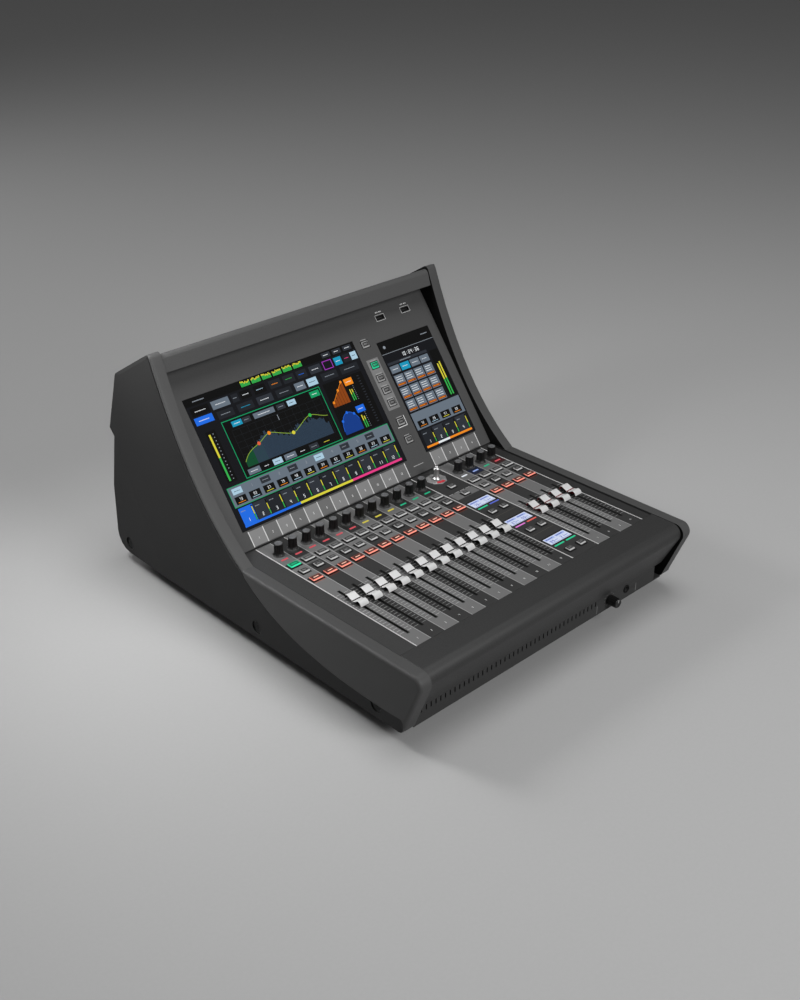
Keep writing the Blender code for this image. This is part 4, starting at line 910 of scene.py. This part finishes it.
def encoders():
    e = encoderShape
    sides = e["flutes"] * 6
    points, faces = turned(e["profile"], sides, e["flutes"], e["depth"], e["fluted"])
    finish = np.zeros(len(faces), int)
    finish[:e["skirtRings"] * sides] = 2
    finish[e["topRing"] * sides:-2] = 1
    finish[-1] = 1
    knob = [(points, faces, finish), (*turned(stalkShape, 24), 0)]
    ring = [(*turned(ringShape, 40), 0)]
    rings = []
    for number, x in enumerate(encoderX):
        name = f"encoder_{number + 1:02d}"
        makePiece(f"encoderKnob{number + 1:02d}", placed(knob, onDeck, x, encoderY),
                  [knobRubber, knobTop, knobSkirt], name, [name])
        rings += placed(ring, onDeck, x, encoderY)
    makePiece("encoderRings", rings, [knobSkirt], "console")


encoders()

# turn knob: silver post with a ball head, on an eight-cornered flange with a red mark
turnShape = dict(profile=[(2.9, -6.0), (2.9, 1.6), (5.4, 1.7), (5.6, 2.4), (5.2, 3.3), (4.0, 4.2), (3.5, 5.0),
                          (3.5, 14.4), (3.9, 14.9), (4.6, 15.5), (4.75, 16.4), (4.4, 17.4), (3.6, 18.1),
                          (2.8, 18.5), (2.6, 19.4), (1.9, 20.2), (0.8, 20.6), (0.2, 20.6)],
                 ears=(5.3, 1.2, 15.2, 17.0), flange=14.2, flangeRise=1.5, mark="#b8323c",
                 markTurn=(-130, -66), markReach=(8.2, 12.9))


def turnKnob():
    t = turnShape
    post, ear = turned(t["profile"], 48), slab(*t["ears"], 1.0, 0.4)
    makePiece("turnPost", placed([(*post, 0), (*ear, 0)], onDeck, columnX, turnY), [nickel],
              "turn_knob", ["turn_knob"])
    corner, rise = t["flange"], t["flangeRise"]
    turn = np.linspace(0, 2 * np.pi, 96, endpoint=False)
    # eight straight sides: the reach grows as 1 / cos of the turn from the middle of a side
    octagon = np.cos(np.pi / 8) / np.cos((turn + np.pi / 16) % (np.pi / 4) - np.pi / 8)
    outline = octagon[:, None] * np.column_stack([np.cos(turn), np.sin(turn)])
    steps = ((corner, -0.1), (corner, 0.8), (corner - 0.5, 1.3), (corner - 1.2, rise), (corner - 4.0, rise),
             (corner - 5.0, 1.1), (corner - 6.8, 1.0))
    flange = loft([ringAt(size * outline, z) for size, z in steps])
    makePiece("turnFlange", placed([(*flange, 0)], onDeck, columnX, turnY), [flangeSilver], "console")
    angle = np.radians(np.linspace(*t["markTurn"], 9))
    art = newArt()
    arc = [np.column_stack([columnX + r * np.cos(angle), turnY + r * np.sin(angle)]) for r in t["markReach"]]
    addQuads(art, np.stack([arc[0][:-1], arc[1][:-1], arc[1][1:], arc[0][1:]], 1), t["mark"], 1.56)
    artPiece("turnMark", art, onDeck, deckInk, 0.1)


turnKnob()

# phones knob on the front wall: fluted barrel with a dished end and a pale pointer, and the nut of its socket
phonesShape = dict(profile=[(2.4, -4.0), (2.4, 0.8), (6.1, 0.9), (6.5, 1.6), (6.4, 4.0), (6.2, 12.6),
                            (5.8, 13.6)],
                   tip=[(5.85, 13.2), (5.85, 13.75), (5.3, 14.4), (4.7, 14.5), (4.2, 14.2), (1.0, 14.1)],
                   flutes=16, depth=0.6, fluted=(3.0, 12.7), jackBeside=33.5,
                   jackRing=[(3.5, -1.0), (5.4, -0.2), (5.4, 0.7), (5.0, 1.1), (3.9, 1.1), (3.5, 0.7)],
                   ink="#8b8b8b", lineBeside=(-22.5, 53.0), scaleReach=(8.2, 9.4), scaleTurn=(-150, 150))


def phones():
    p = phonesShape
    x, z = middleOf("phones_knob")[[0, 2]]
    barrel = turned(p["profile"], p["flutes"] * 6, p["flutes"], p["depth"], p["fluted"])
    tip = turned(p["tip"], 48)
    pointer = moved(slab(0.5, 2.2, 13.6, 14.6, 0.4, 0.15), (0, 3.2, 0))
    makePiece("phonesBarrel", placed([(*barrel, 0), (*tip, 0), (*pointer, 1)], onFront, x, z),
              [knobRubber, keyPale], "phones_knob", ["phones_knob"])
    points, faces = turned(p["jackRing"], 40)
    hole = np.arange(len(points)).reshape(-1, 40)  # the nut's two caps give way to the wall of its bore
    closing = np.stack([hole[-1], np.roll(hole[-1], -1), np.roll(hole[0], -1), hole[0]], -1).tolist()
    nut = placed([(points, faces[:-2] + closing, 0)], onFront, x + p["jackBeside"], z)
    makePiece("jackNut", nut, [blackAbsAndShade], "console")
    art = newArt()
    for side in p["lineBeside"]:
        addRects(art, (x + side - 0.3, baseZ + 2.0, x + side + 0.3, baseZ + 13.2), p["ink"], 0.05)
    ray = np.array(p["scaleReach"])
    for angle in np.radians(np.linspace(*p["scaleTurn"], 11)):
        addLine(art, x + ray * np.sin(angle), z + ray * np.cos(angle), 0.45, p["ink"], 0.05)
    artPiece("frontPrint", art, onFront, deckInk, 0.06)


phones()
print("stage: knobs done")

# fader caps: a thin silver skin over two lobes, dark and hollow below, on a narrow core and a stem
capShape = dict(half=6.3, lean=0.4, foot=2.4, height=5.2, skin=0.9, endRoll=0.25, core=(2.2, 6.0, 0.8, 3.2),
                stem=(0.8, 4.0, -5.0), line=(0.8, 3.1, 4.35))
capCurve = np.concatenate([bow(13.5 + 2.4j, 13.7 + 7.7j, 9.8 + 7.6j, 8),
                           bow(9.8 + 7.6j, 4.6 + 5.4j, 1.5 + 4.3j, 7)[1:], [1.3 + 3.7j, -0.3 + 3.7j],
                           bow(-0.5 + 4.3j, -4.2 + 4.6j, -7.4 + 7.5j, 7),
                           bow(-7.4 + 7.5j, -12.3 + 7.3j, -13.5 + 2.4j, 10)[1:]])


def capHalf(z):  # half the cap's width, narrowing upwards
    return capShape["half"] - capShape["lean"] * (z - capShape["foot"]) / capShape["height"]


def acrossCap(outline, ends):  # an outline carried across; each end is (side, step in, roll)
    rings = []
    for side, back, roll in ends:
        line = insetLine(outline, roll) if roll else outline
        rings.append(acrossAt(side * (capHalf(line.imag) - back), line))
    return loft(rings)


def faderCaps():
    c = capShape
    roll = c["endRoll"]
    outline = np.concatenate([capCurve, insetLine(capCurve, c["skin"], False)[::-1]])
    ends = [(-1, 0, roll), (-1, roll, 0), (1, roll, 0), (1, 0, roll)]
    points, faces = acrossCap(outline, ends)
    finish = np.zeros(len(faces), int)
    spot = np.arange(len(faces) - 2) % len(outline)
    finish[:-2] = spot >= len(capCurve)  # the underside of the skin and its two ends are bare
    finish[-2:] = 1
    core = slab(*c["core"], 0.8, 0.3)
    stem = slab(*c["stem"], c["core"][2] + 0.5, 0.3, 0.1)
    dash = moved(slab(capHalf(4.0) - 0.1, *c["line"], 0.1, 0.05), (0, 0.5, 0))
    cap = [(points, faces, finish), (*core, 1), (*stem, 1), (*dash, 1)]
    for number, x in enumerate(stripX):
        name = f"fader_{number + 1:02d}"
        makePiece(f"faderCap{number + 1:02d}", placed(cap, onDeck, x, faderY),
                  [capSilver, blackAbsAndShade if number < 12 else maroonAbs], name, [name], 30.0)


faderCaps()
print("stage: faders done")

# pictures on the screens: panels, bars, curves and dots on a plain grid, numbers only
screenTint = dict(night="#121317", panel="#1f2227", raised="#2d3138", slate="#66717d", pale="#a9c9dc",
                  cyan="#1a94b8", frame="#139a62", grid="#24282d", white="#e4e8ec", dim="#8b929a",
                  yellow="#d9d03c", green="#35b04e", orange="#f08a1e", rust="#8a4210", blue="#1f6ae0",
                  navy="#123a86", steel="#2d3d4e", pink="#e83c86", violet="#a83cc0", leaf="#0e4a2c",
                  coal="#090909", olive="#8fae3c", ember="#e2603c")
screenHigh, screenEdge = dict(main=170.9, sub=157.4), 0.4  # up the slope, and the dark edge of a picture
levels = [0.03 + 0.03 * i for i in range(6)]  # heights of the layers over the glass
draw = np.random.default_rng(21)


def addWords(art, x, y, width, height, colour, lift):  # a row of short bars where small print would be
    cuts = np.cumsum(draw.uniform(0.8, 2.4, 12))
    cuts = cuts[cuts < width]
    starts = np.append(0, cuts[:-1] + 0.35) if len(cuts) else np.array([0.0])
    stops = cuts if len(cuts) else np.array([width])
    addRects(art, [(x + a, y, x + b, y + height) for a, b in zip(starts, stops) if b > a], colour, lift)


def addTile(art, left, low, right, high, colour, ink="white"):
    addRects(art, (left, low, right, high), colour, 2)
    width = (right - left) * 0.6
    addWords(art, (left + right - width) / 2, (low + high) / 2 - 0.4, width, 0.8, ink, 3)


def addTiles(art, left, low, high, row):  # each tile is (start, stop, tile tint, ink tint)
    for start, stop, colour, ink in row:
        addTile(art, left + start, low, left + stop, high, colour, ink)


def addMeter(art, x, low, high, width, share, lift):  # green rising to yellow
    turn = low + (high - low) * share
    addRects(art, (x, low, x + width, turn), "green", lift)
    addRects(art, (x, turn, x + width, high), "yellow", lift)


def addChannelCells(art, left, count, numbers, hues):  # cells in line with the strips below
    for i in range(count):
        a, b = left + i * pitch + 0.5, left + (i + 1) * pitch - 0.5
        tone = "blue" if hues[i] == "blue" and i == 0 else ("panel", "raised")[i % 2]
        addRects(art, (a, 6.2, b, 27.5), tone, 1)
        addRects(art, (a - 0.5, 3.4, b + 0.5, 6.2), hues[i], 1)
        addRects(art, (b - 2.6, 7.0, b - 0.6, 26.6), "coal", 2)
        addMeter(art, b - 2.2, 7.4, 20.0 + draw.uniform(0, 6), 1.2, 0.45, 3)
        addWords(art, a + 2.0, 22.6, 7.0, 0.9, "dim", 3)
        addNumber(art, str(numbers[i]), a + 8.5, 11.0, 4.2, "white", 3)


def addValueBand(art, left, right, count, start):  # slate band with a black cell over each strip
    addRects(art, (left, 30.0, right, 54.0), "slate", 1)
    for i in range(count):
        a = start + i * pitch + 2.4
        addRects(art, (a, 32.0, a + pitch - 4.8, 41.5), "coal", 2)
        addNumber(art, str(int(draw.integers(10, 96))), a + pitch / 2 - 2.4, 37.6, 3.4, "white", 3)
        addRects(art, (a + 3.0, 33.6, a + pitch - 7.8, 34.3), ("orange", "pale", "yellow")[i % 3], 3)


def addGraph(art, left, low, right, high):  # response curve over a bar spectrum, in a green frame
    addRects(art, (left, low, right, high), "coal", 1)
    addFrame(art, left, low, right, high, 1.0, "frame", 4)
    inLeft, inRight, inLow, inHigh = left + 9, right - 6, low + 12, high - 14
    for x in np.linspace(inLeft, inRight, 13):
        addRects(art, (x - 0.12, inLow, x + 0.12, inHigh), "grid", 2)
    for y in np.linspace(inLow, inHigh, 7):
        addRects(art, (inLeft, y - 0.12, inRight, y + 0.12), "grid", 2)
    bars = np.arange(inLeft + 16, inRight - 3, 1.7)
    share = (bars - inLeft) / (inRight - inLeft)
    rise = 15 + 17 * np.exp(-((share - 0.3) / 0.16) ** 2) + 13 * np.exp(-((share - 0.74) / 0.2) ** 2)
    rise += draw.uniform(-4.0, 3.0, len(bars))
    addRects(art, np.column_stack([bars, np.full(len(bars), inLow), bars + 1.45, inLow + rise]), "steel", 3)
    x = np.linspace(inLeft, inRight, 90)
    s = (x - inLeft) / (inRight - inLeft)
    middle = (inLow + inHigh) / 2 - 1
    curve = middle - 16 * np.exp(-s / 0.09) + 7 * np.exp(-((s - 0.34) / 0.1) ** 2)
    curve += 9 * np.exp(-((s - 0.82) / 0.12) ** 2) - 4 * np.exp(-((s - 0.58) / 0.08) ** 2)
    addUnder(art, x[:22], inLow, curve[:22], "leaf", 2)
    addLine(art, x, curve, 0.7, "olive", 4)
    for at, hue in ((0.2, "ember"), (0.34, "orange"), (0.58, "yellow"), (0.82, "green")):
        y = np.interp(at, s, curve)
        addDisc(art, inLeft + at * (inRight - inLeft), y, 2.5, hue, 5)
    addNumber(art, "1", (left + right) / 2, high - 18.5, 7.0, "dim", 3)
    addTiles(art, left, high - 10.5, high - 3.5,
             ((13, 28, "cyan", "white"), (29, 41, "raised", "dim"), (46, 78, "slate", "white"),
              (82, 95, "raised", "dim"), (99, 112, "pale", "panel")))
    addTile(art, right - 18, high - 11.0, right - 3, high - 3.0, "frame")
    addTiles(art, left, low + 2.2, low + 9.5,
             ((6, 24, "slate", "white"), (28, 40, "coal", "white"), (44, 58, "pale", "panel"),
              (62, 80, "slate", "white"), (84, 98, "coal", "white"), (102, 116, "raised", "dim"),
              (122, 138, "coal", "yellow")))


def screenPiece(name, art, left):  # a picture whose lower left corner is that of its screen
    corner = np.array([left, lipLength + keyGap, 0])
    artPiece(name, art, lambda points: onDisplay(points + corner), screenLight)


def screenArt(node, height):  # the night ground of a screen, and the screen's left edge and width
    low, high = cornersOf(node)
    left, width = low[0], high[0] - low[0]
    art = newArt(screenTint, levels)
    addRects(art, (screenEdge, screenEdge, width - screenEdge, height - screenEdge), "night", 0)
    return art, left, width


def mainPicture():
    height = screenHigh["main"]
    art, left, width = screenArt("main_display", height)
    strips = mainLeft - left
    addChannelCells(art, strips, 12, range(1, 13), ["blue"] * 4 + ["yellow"] * 4 + ["pink"] * 4)
    addValueBand(art, 5.0, width - 5.0, 12, strips)
    addFrame(art, 4.4, 29.2, width - 4.4, 54.8, 0.8, "frame", 4)
    for i, hue in enumerate((("pale", None, "raised", None, "raised", None) * 2)[:11]):
        a = strips + i * pitch
        if hue:
            addTile(art, a + 3, 44.4, a + pitch - 4, 52.0, hue, "panel" if hue == "pale" else "dim")
        else:
            addNumber(art, str(i // 2 + 1), a + pitch / 2, 48.2, 3.6, "dim", 3)
    addGraph(art, 36.0, 57.0, 190.0, 131.0)
    addRects(art, (10.0, 60.0, 24.0, 126.0), "coal", 1)
    addMeter(art, 13.0, 62.0, 122.0, 2.6, 0.5, 2)
    addRects(art, [(19.0, y, 20.2, y + 1.2) for y in np.linspace(63, 121, 14)], "dim", 2)
    # stepped level block and dome block, each with its lit tile, dots and a pair of meters
    addRects(art, (196.0, 57.0, 262.0, 131.0), "coal", 1)
    steps = np.arange(6)
    stairs = [199 + 4.6 * steps, np.full(6, 98.0), 203.2 + 4.6 * steps, 104 + 4.4 * steps]
    addRects(art, np.column_stack(stairs), "rust", 2)
    addLine(art, 201.1 + 4.6 * steps, 104.4 + 4.4 * steps, 0.6, "orange", 3)
    for i in (0, 3, 5):
        addDisc(art, 201.1 + 4.6 * i, 104.4 + 4.4 * i, 1.9, "orange", 4)
    addTile(art, 229.0, 119.0, 243.0, 128.0, "orange")
    dome = np.linspace(198, 228, 25)
    crown = 61 + 26 * np.sqrt(np.maximum(0, 1 - ((dome - 214) / 16.2) ** 2))
    addUnder(art, dome, 60.0, crown, "navy", 2)
    addLine(art, dome, crown, 0.6, "blue", 3)
    for i in (3, 12, 20):
        addDisc(art, dome[i], crown[i], 1.9, "blue", 4)
    addTile(art, 229.0, 81.0, 243.0, 90.0, "blue")
    for base, top in ((98.0, 116.0), (60.0, 79.0)):
        for x, share in ((232.0, 0.55), (235.4, 0.7)):
            addMeter(art, x, base, top - draw.uniform(0, 4), 1.5, share, 2)
        addRects(art, [(239.5, y, 240.4, y + 0.8) for y in np.linspace(base, top, 8)], "dim", 2)
    addRects(art, [(252.0, y, 255.5, y + 1.0) for y in np.linspace(62, 126, 18)], "raised", 2)
    # rows of tiles above the graph, and the bar with the small meters
    addTiles(art, 0, 148.0, 158.5,
             ((4, 30, "coal", "white"), (34, 60, "slate", "white"), (64, 74, "panel", "dim"),
              (77, 93, "coal", "white"), (98, 116, "coal", "pale"), (122, 140, "panel", "orange"),
              (144, 162, "panel", "green"), (166, 182, "panel", "blue"), (187, 206, "raised", "white"),
              (229, 241, "cyan", "white"), (244, 255, "panel", "pink"), (257, 267, "pale", "panel")))
    addFrame(art, 210.0, 147.4, 225.0, 159.0, 0.9, "violet", 3)
    addTile(art, 4.0, 136.5, 30.0, 146.0, "blue")
    addTiles(art, 0, 134.5, 144.5,
             ((36, 60, "panel", "dim"), (66, 90, "panel", "cyan"), (96, 120, "raised", "white"),
              (126, 150, "panel", "dim"), (156, 172, "slate", "white"), (176, 192, "pale", "panel"),
              (200, 226, "panel", "dim"), (232, 262, "panel", "dim")))
    addRects(art, (screenEdge, 161.0, width - screenEdge, height - screenEdge), "coal", 1)
    for group in range(6):
        x = 84 + 16.5 * group + 1.75 * np.arange(8)
        tops = 163.6 + draw.uniform(2.2, 4.6, 8)
        addRects(art, np.column_stack([x, np.full(8, 162.4), x + 1.4, tops]), "green", 2)
        addRects(art, np.column_stack([x, tops, x + 1.4, tops + 1.9]), "yellow", 2)
    addWords(art, 12.0, 165.2, 22.0, 1.2, "dim", 2)
    for x in (214, 232, 250):
        addTile(art, x, 162.6, x + 14, 169.0, "raised")
    screenPiece("mainPicture", art, left)


def subPicture():
    height = screenHigh["sub"]
    art, left, width = screenArt("sub_display", height)
    strips = sideLeft - left
    addChannelCells(art, strips, 4, range(1, 5), ["orange", "white", "orange", "orange"])
    addValueBand(art, 2.0, width - 2.0, 4, strips)
    addRects(art, (screenEdge, 140.0, width - screenEdge, height - screenEdge), "coal", 1)
    addRects(art, (screenEdge, 139.6, width - screenEdge, 140.2), "dim", 2)
    addDisc(art, 9.0, 149.0, 2.2, "dim", 2)
    addWords(art, 76.0, 148.6, 12.0, 1.2, "dim", 2)
    addNumber(art, "10:24:36", width / 2, 132.6, 5.2, "white", 2)
    addRects(art, (2.0, 124.0, 74.0, 127.4), "raised", 1)
    addWords(art, 24.0, 125.2, 26.0, 1.0, "dim", 2)
    for i in range(4):
        addTile(art, 3 + 18 * i, 112.0, 19 + 18 * i, 122.0, "cyan" if i == 1 else "slate")
    for row in range(3):
        for column in range(4):
            a, b = 3 + 18 * column, 56.5 + 18.2 * row
            addRects(art, (a, b, a + 16, b + 16), "slate", 1)
            addRects(art, (a + 0.8, b + 1.0, a + 15.2, b + 4.2), "rust", 2)
            addWords(art, a + 2, b + 2.2, 11, 0.9, "orange", 3)
            for line in (6.4, 9.4, 12.4):
                addWords(art, a + 2, b + line, 11, 0.9, "white", 2)
    addRects(art, (77.0, 56.0, 93.0, 124.0), "coal", 1)
    for i in range(2):
        addMeter(art, 81.0 + 4.2 * i, 58.0, 100 + draw.uniform(0, 8), 2.2, 0.5, 2)
    screenPiece("subPicture", art, left)


mainPicture()
subPicture()
for node in ("main_display", "sub_display"):
    frame["nodes"][node].data.materials[0] = screenGlass


# label displays: pale panels with blue marks, set just below the deck
labelPrint = dict(ground="#ced6ec", band="#9fb0e4", ink="#2c3f9c", mark="#3f55b8", faint="#7b8fd4",
                  cellFrom=1.4, cellPitch=18.0, cellWidth=16.2)


def labelPictures():
    p = labelPrint
    art = newArt(labelPrint)
    wide, high = labelSize
    for y in labelY:
        left, low = columnX - wide / 2, y - high / 2
        addRects(art, (left + 0.2, low + 0.2, left + wide - 0.2, low + high - 0.2), "ground", -0.22)
        starts = left + p["cellFrom"] + p["cellPitch"] * np.arange(2)
        addRects(art, [(a, low + 9.6, a + p["cellWidth"], low + 13.4) for a in starts], "band", -0.19)
        for a in starts:
            addWords(art, a + 1.5, low + 11.0, 12.0, 1.1, "ink", -0.16)
            addNumber(art, str(int(draw.integers(10, 99))), a + 6.0, low + 5.2, 4.6, "mark", -0.18)
            addWords(art, a + 9.5, low + 4.4, 6.0, 1.2, "faint", -0.18)
            addRects(art, (a, low + 1.2, a + p["cellWidth"], low + 1.7), "mark", -0.18)
    artPiece("labelPictures", art, onDeck, lampLight)
    frame["nodes"]["label_displays"].data.materials[0] = screenGlass


labelPictures()

# bezel: printed cells on the lip, a paler block and a bracket by the keys, framed ports above the sub screen
bezelPrint = dict(light="#7d7d7d", dark="#656565", block="#747474", line="#d0d0d0", number="#dfdfdf",
                  mark="#a3a3a3", wellShade="#0f0f0f", lineHalf=0.6, wellShadeWidth=1.1, bracket=(8.6, 7.2, 1.0),
                  keySteps=(24.5, 25.6, 27.5, 18.0, 17.3, 18.8, 29.9), portHalf=22.75, portUp=189.0)
keyUp = lipLength + np.cumsum(bezelPrint["keySteps"])
screenKeyX = middleOf("display_keys")[0]
portX = middleOf("sub_display")[0] + bezelPrint["portHalf"] * np.array([-1, 1])
portUp = lipLength + bezelPrint["portUp"]


def printBezel():
    b = bezelPrint
    art = newArt(bezelPrint)
    for number, x in enumerate(stripX):
        edge = pitch / 2 - 0.35
        tone = "light" if number % 2 == 0 else "dark"
        addRects(art, (x - edge, 1.4, x + edge, 20.4), tone, 0.03)
        addNumber(art, stripNumber(number), x, 9.5, 2.8, "number", 0.06)
    for x in np.concatenate([stripX[:12] - pitch / 2, [mainRight], stripX[12:] - pitch / 2, [sideRight]]):
        addRects(art, (x - b["lineHalf"], 1.0, x + b["lineHalf"], 20.8), "line", 0.07)
    holes = [openingBox(screenKeyX, up, screenKey, keyGap) for up in keyUp]
    block = (screenKeyX - 10.5, keyUp[2] - 9, screenKeyX + 9.5, keyUp[5] + 9)
    addRects(art, cutBoxes(block, holes), "block", 0.03)
    # painted shade: a dark rim round each screen key's opening
    for up in keyUp:
        addWell(art, screenKeyX, up, screenKey, b["wellShadeWidth"], 0.05)
        addWords(art, screenKeyX - 5.0, up + 6.2, 10.0, 0.9, "mark", 0.06)
    reach, drop, wide = b["bracket"]  # two sides of a frame, to the right of and below the second key
    left, right, low = screenKeyX - reach, screenKeyX + reach, keyUp[1] - drop
    addRects(art, [(left, low, right, low + wide), (right - wide, low, right, keyUp[1] + drop)], "line", 0.06)
    addWords(art, screenKeyX - 12.0, 11.0, 25.0, 1.1, "mark", 0.06)
    for x in portX:
        for shift in (-5.0, 1.0):
            addWords(art, x + shift, portUp + 7.0, 5.0, 1.6, "line", 0.06)
        addFrame(art, x - 8.0, portUp - 4.3, x + 8.0, portUp + 4.3, 0.5, "line", 0.06)
    artPiece("bezelPrint", art, onDisplay, bezelInk, 0.06)


printBezel()
keyRow("displayCaps", "display_keys", [(screenKeyX, up) for up in keyUp], screenKey,
       [plainMarks] * 5 + [greenMarks, plainMarks], place=onDisplay, rise=1.2)


def ports():  # a dark shell with a tongue in its mouth, and a black floor
    outer, mouth = roundRect(6.8, 3.1, 0.8), roundRect(5.9, 2.2, 0.5)
    wall = ((outer, -1.9), (outer, 0.35), (mouth, 0.35), (mouth, -1.7))
    shell = loft([ringAt(line, z) for line, z in wall])
    tongue = slab(4.6, 0.7, -1.8, -0.3, 0.3, 0.1)
    floor = slab(5.8, 2.1, -1.9, -1.6, 0.4, 0.02)
    shapes = []
    for x in portX:
        shapes += placed([(*shell, 0), (*tongue, 0), (*floor, 1)], onDisplay, x, portUp)
    makePiece("portShells", shapes, [keyDarkAndShade, blackAbsAndShade], "console")


ports()
print("stage: display done")

# rear sockets: each cell runs from its rectangle to a round collar, with contacts, a latch and screws
socketShape = dict(field=(372.0, 106.0), drop=16.0, columns=8, rows=3, plate=5.0, inset=6.0, sideSteps=12,
                   collar=[(12.6, 0.0), (12.6, 0.7), (12.1, 1.1), (9.3, 1.2), (8.7, 0.9), (8.6, -1.6),
                           (7.4, -1.7), (7.2, -1.0), (6.8, -0.8), (0.6, -0.8)], collarRings=(2, 7),
                   contact=1.35, contactRing=3.4, screw=(10.2, 13.0), latchAhead=10.4,
                   ink="#d9d9d9", numberHigh=3.0, numberSpot=(16.5, -12.0))


def rearSockets():
    s, m = socketShape, marks
    knee = m["notchFoot"] - s["inset"]
    foot = complex(sideShape["depth"] / 2 - s["inset"], baseZ + sideShape["rearFootRadius"])
    down = (foot - knee) / abs(foot - knee)
    out = 1j * down

    def onRear(points):  # x, length down the panel from its knee, height off it
        spot = knee + down * points[:, 1] + out * points[:, 2]
        return acrossAt(points[:, 0], spot)

    halfX, halfY = s["field"][0] / s["columns"] / 2, s["field"][1] / s["rows"] / 2
    run, one = np.linspace(-1, 1, s["sideSteps"], endpoint=False), np.ones(s["sideSteps"])
    square = np.column_stack([np.concatenate([run, one, -run, -one]) * halfX,
                              np.concatenate([-one, run, one, -run]) * halfY])
    circle = square / np.linalg.norm(square, axis=1)[:, None]
    rings = [ringAt(square, -s["plate"]), ringAt(square, 0.0)]
    rings += [ringAt(circle * radius, z) for radius, z in s["collar"]]
    points, faces = loft(rings)
    first, last = np.array(s["collarRings"]) * len(square)
    finish = np.zeros(len(faces), int)
    finish[first:last] = 1  # plated collar, then the black insert
    finish[last:-2], finish[-1] = 2, 2
    r = s["contact"]
    hole = turned([(r, -0.9), (r, -0.7), (r * 0.75, -0.66), (0.5, -0.74)], 16)
    latch = slab(2.6, 1.3, -0.4, 1.5, 0.5, 0.3)
    head = turned([(1.9, -0.1), (1.9, 0.4), (1.5, 0.75), (0.4, 0.8)], 18)
    shapes = [(points, faces, finish)]
    for turn in np.radians((90, 210, 330)):
        spot = (s["contactRing"] * np.cos(turn), s["contactRing"] * np.sin(turn), 0)
        shapes.append((*moved(hole, spot), 1))
    shapes.append((*moved(latch, (0, -s["latchAhead"], 0)), 2))
    for side in (-1, 1):
        shapes.append((*moved(head, (side * s["screw"][0], side * s["screw"][1], 0)), 1))
    everySocket, art = [], newArt()
    for row in range(s["rows"]):
        for column in range(s["columns"]):
            x = (column + 0.5) * 2 * halfX - s["field"][0] / 2
            y = s["drop"] + (row + 0.5) * 2 * halfY
            everySocket += placed(shapes, onRear, x, y)
            number = str(row * s["columns"] + s["columns"] - column)
            addNumber(art, number, 0, 0, s["numberHigh"], s["ink"], 0.05)
            spot = np.array([x, y]) + s["numberSpot"]
            art["quads"][-1] = spot - art["quads"][-1]  # turned half round, to read from behind
    makePiece("socketField", everySocket, [rearCoat, satinNickel, blackAbsAndShade], "console",
              ["rear_sockets"])
    artPiece("rearNumbers", art, onRear, deckInk, 0.07)


rearSockets()

# feet: turned pads with rounded edges; inside: plain metal, board and case
footShape = [(9.0, 0.0), (11.0, 0.25), (11.8, 1.2), (12.0, 3.0), (11.6, 15.0), (11.2, 18.3), (10.6, 18.6)]
for node in ("foot_front_left", "foot_front_right", "foot_rear_left", "foot_rear_right"):
    x, y = middleOf(node)[:2]
    words = node.split("_")
    makePiece("pad" + words[1].title() + words[2].title(), [(*moved(turned(footShape, 40), (x, y, 0)), 0)],
              [footRubber], "console", [node])
for node, finish in (("fader_panel", deckCoat), ("main_board", boardMask), ("power_supply", zincSteel),
                     ("fader_chassis", zincSteel)):
    frame["nodes"][node].data.materials[0] = finish
print("stage: rear and inside done")

# stage: pale floor, soft lamps above, ahead and behind, camera at the photograph's angle
stageShape = dict(floor=("#acacac", "#a8a8a8"), fibreMm=4.0, floorHalf=14000.0, sky="#f3f3f3", skyLight=0.12,
                  lamps=(("key", (0.2, -0.25, 2.1), 17.0, 1.2),  # name, place, watts, width
                         ("frontFill", (0.25, -2.6, 1.75), 56.0, 1.4),
                         ("backFill", (-0.5, 2.4, 1.6), 14.0, 1.4),
                         ("leftTop", (-0.4, 0.24, 0.53), 2.1, 0.2)))


def floorPlane():
    t = stageShape
    material, tree, shader, place = newFinish("matt paper floor", Roughness=0.8)
    fibre = noiseOf(tree, place, t["fibreMm"], 3.0)
    wire(tree, shader, Base_Color=shadeBy(tree, fibre, *t["floor"]))
    h = t["floorHalf"] * mm
    mesh = bpy.data.meshes.new("floor")
    mesh.from_pydata([(-h, -h, 0), (h, -h, 0), (h, h, 0), (-h, h, 0)], [], [(0, 1, 2, 3)])
    mesh.materials.append(material)
    floor = linked("floor", mesh)


def softLamp(name, place, power, size, target=(0.0, 0.0, 0.12)):
    lamp = bpy.data.lights.new(name, "AREA")
    lamp.energy, lamp.size, lamp.shape = power, size, "DISK"
    item = linked(name, lamp)
    item.location = place
    aim = np.array(target) - np.array(place)
    tilt, heading = np.arctan2(np.hypot(aim[0], aim[1]), -aim[2]), np.arctan2(aim[1], aim[0])
    item.rotation_euler = (tilt, 0, heading - np.pi / 2)


cameraShape = dict(place=(-0.9918, -1.04585, 0.9037), turn=(61.18, 0.09, -43.75), focal=1315.75,
                   frameHigh=1000.0, sensor=36.0, far=60.0)  # focal in the units of frameHigh


def lightsAndCamera():
    t, c = stageShape, cameraShape
    for name, place, power, size in t["lamps"]:
        softLamp(name, place, power, size)
    world = bpy.data.worlds.new("pale room")
    world.use_nodes = True
    back = world.node_tree.nodes["Background"]
    back.inputs["Color"].default_value = rgba(t["sky"])
    back.inputs["Strength"].default_value = t["skyLight"]
    scene.world = world
    lens = bpy.data.cameras.new("camera")
    lens.sensor_width = c["sensor"]
    lens.lens = c["focal"] / c["frameHigh"] * lens.sensor_width
    lens.clip_end = c["far"]
    camera = linked("camera", lens)
    camera.location = c["place"]
    camera.rotation_euler = np.radians(c["turn"])
    scene.camera = camera
    scene.view_settings.view_transform = "Standard"


floorPlane()
lightsAndCamera()
print("stage: scene ready")
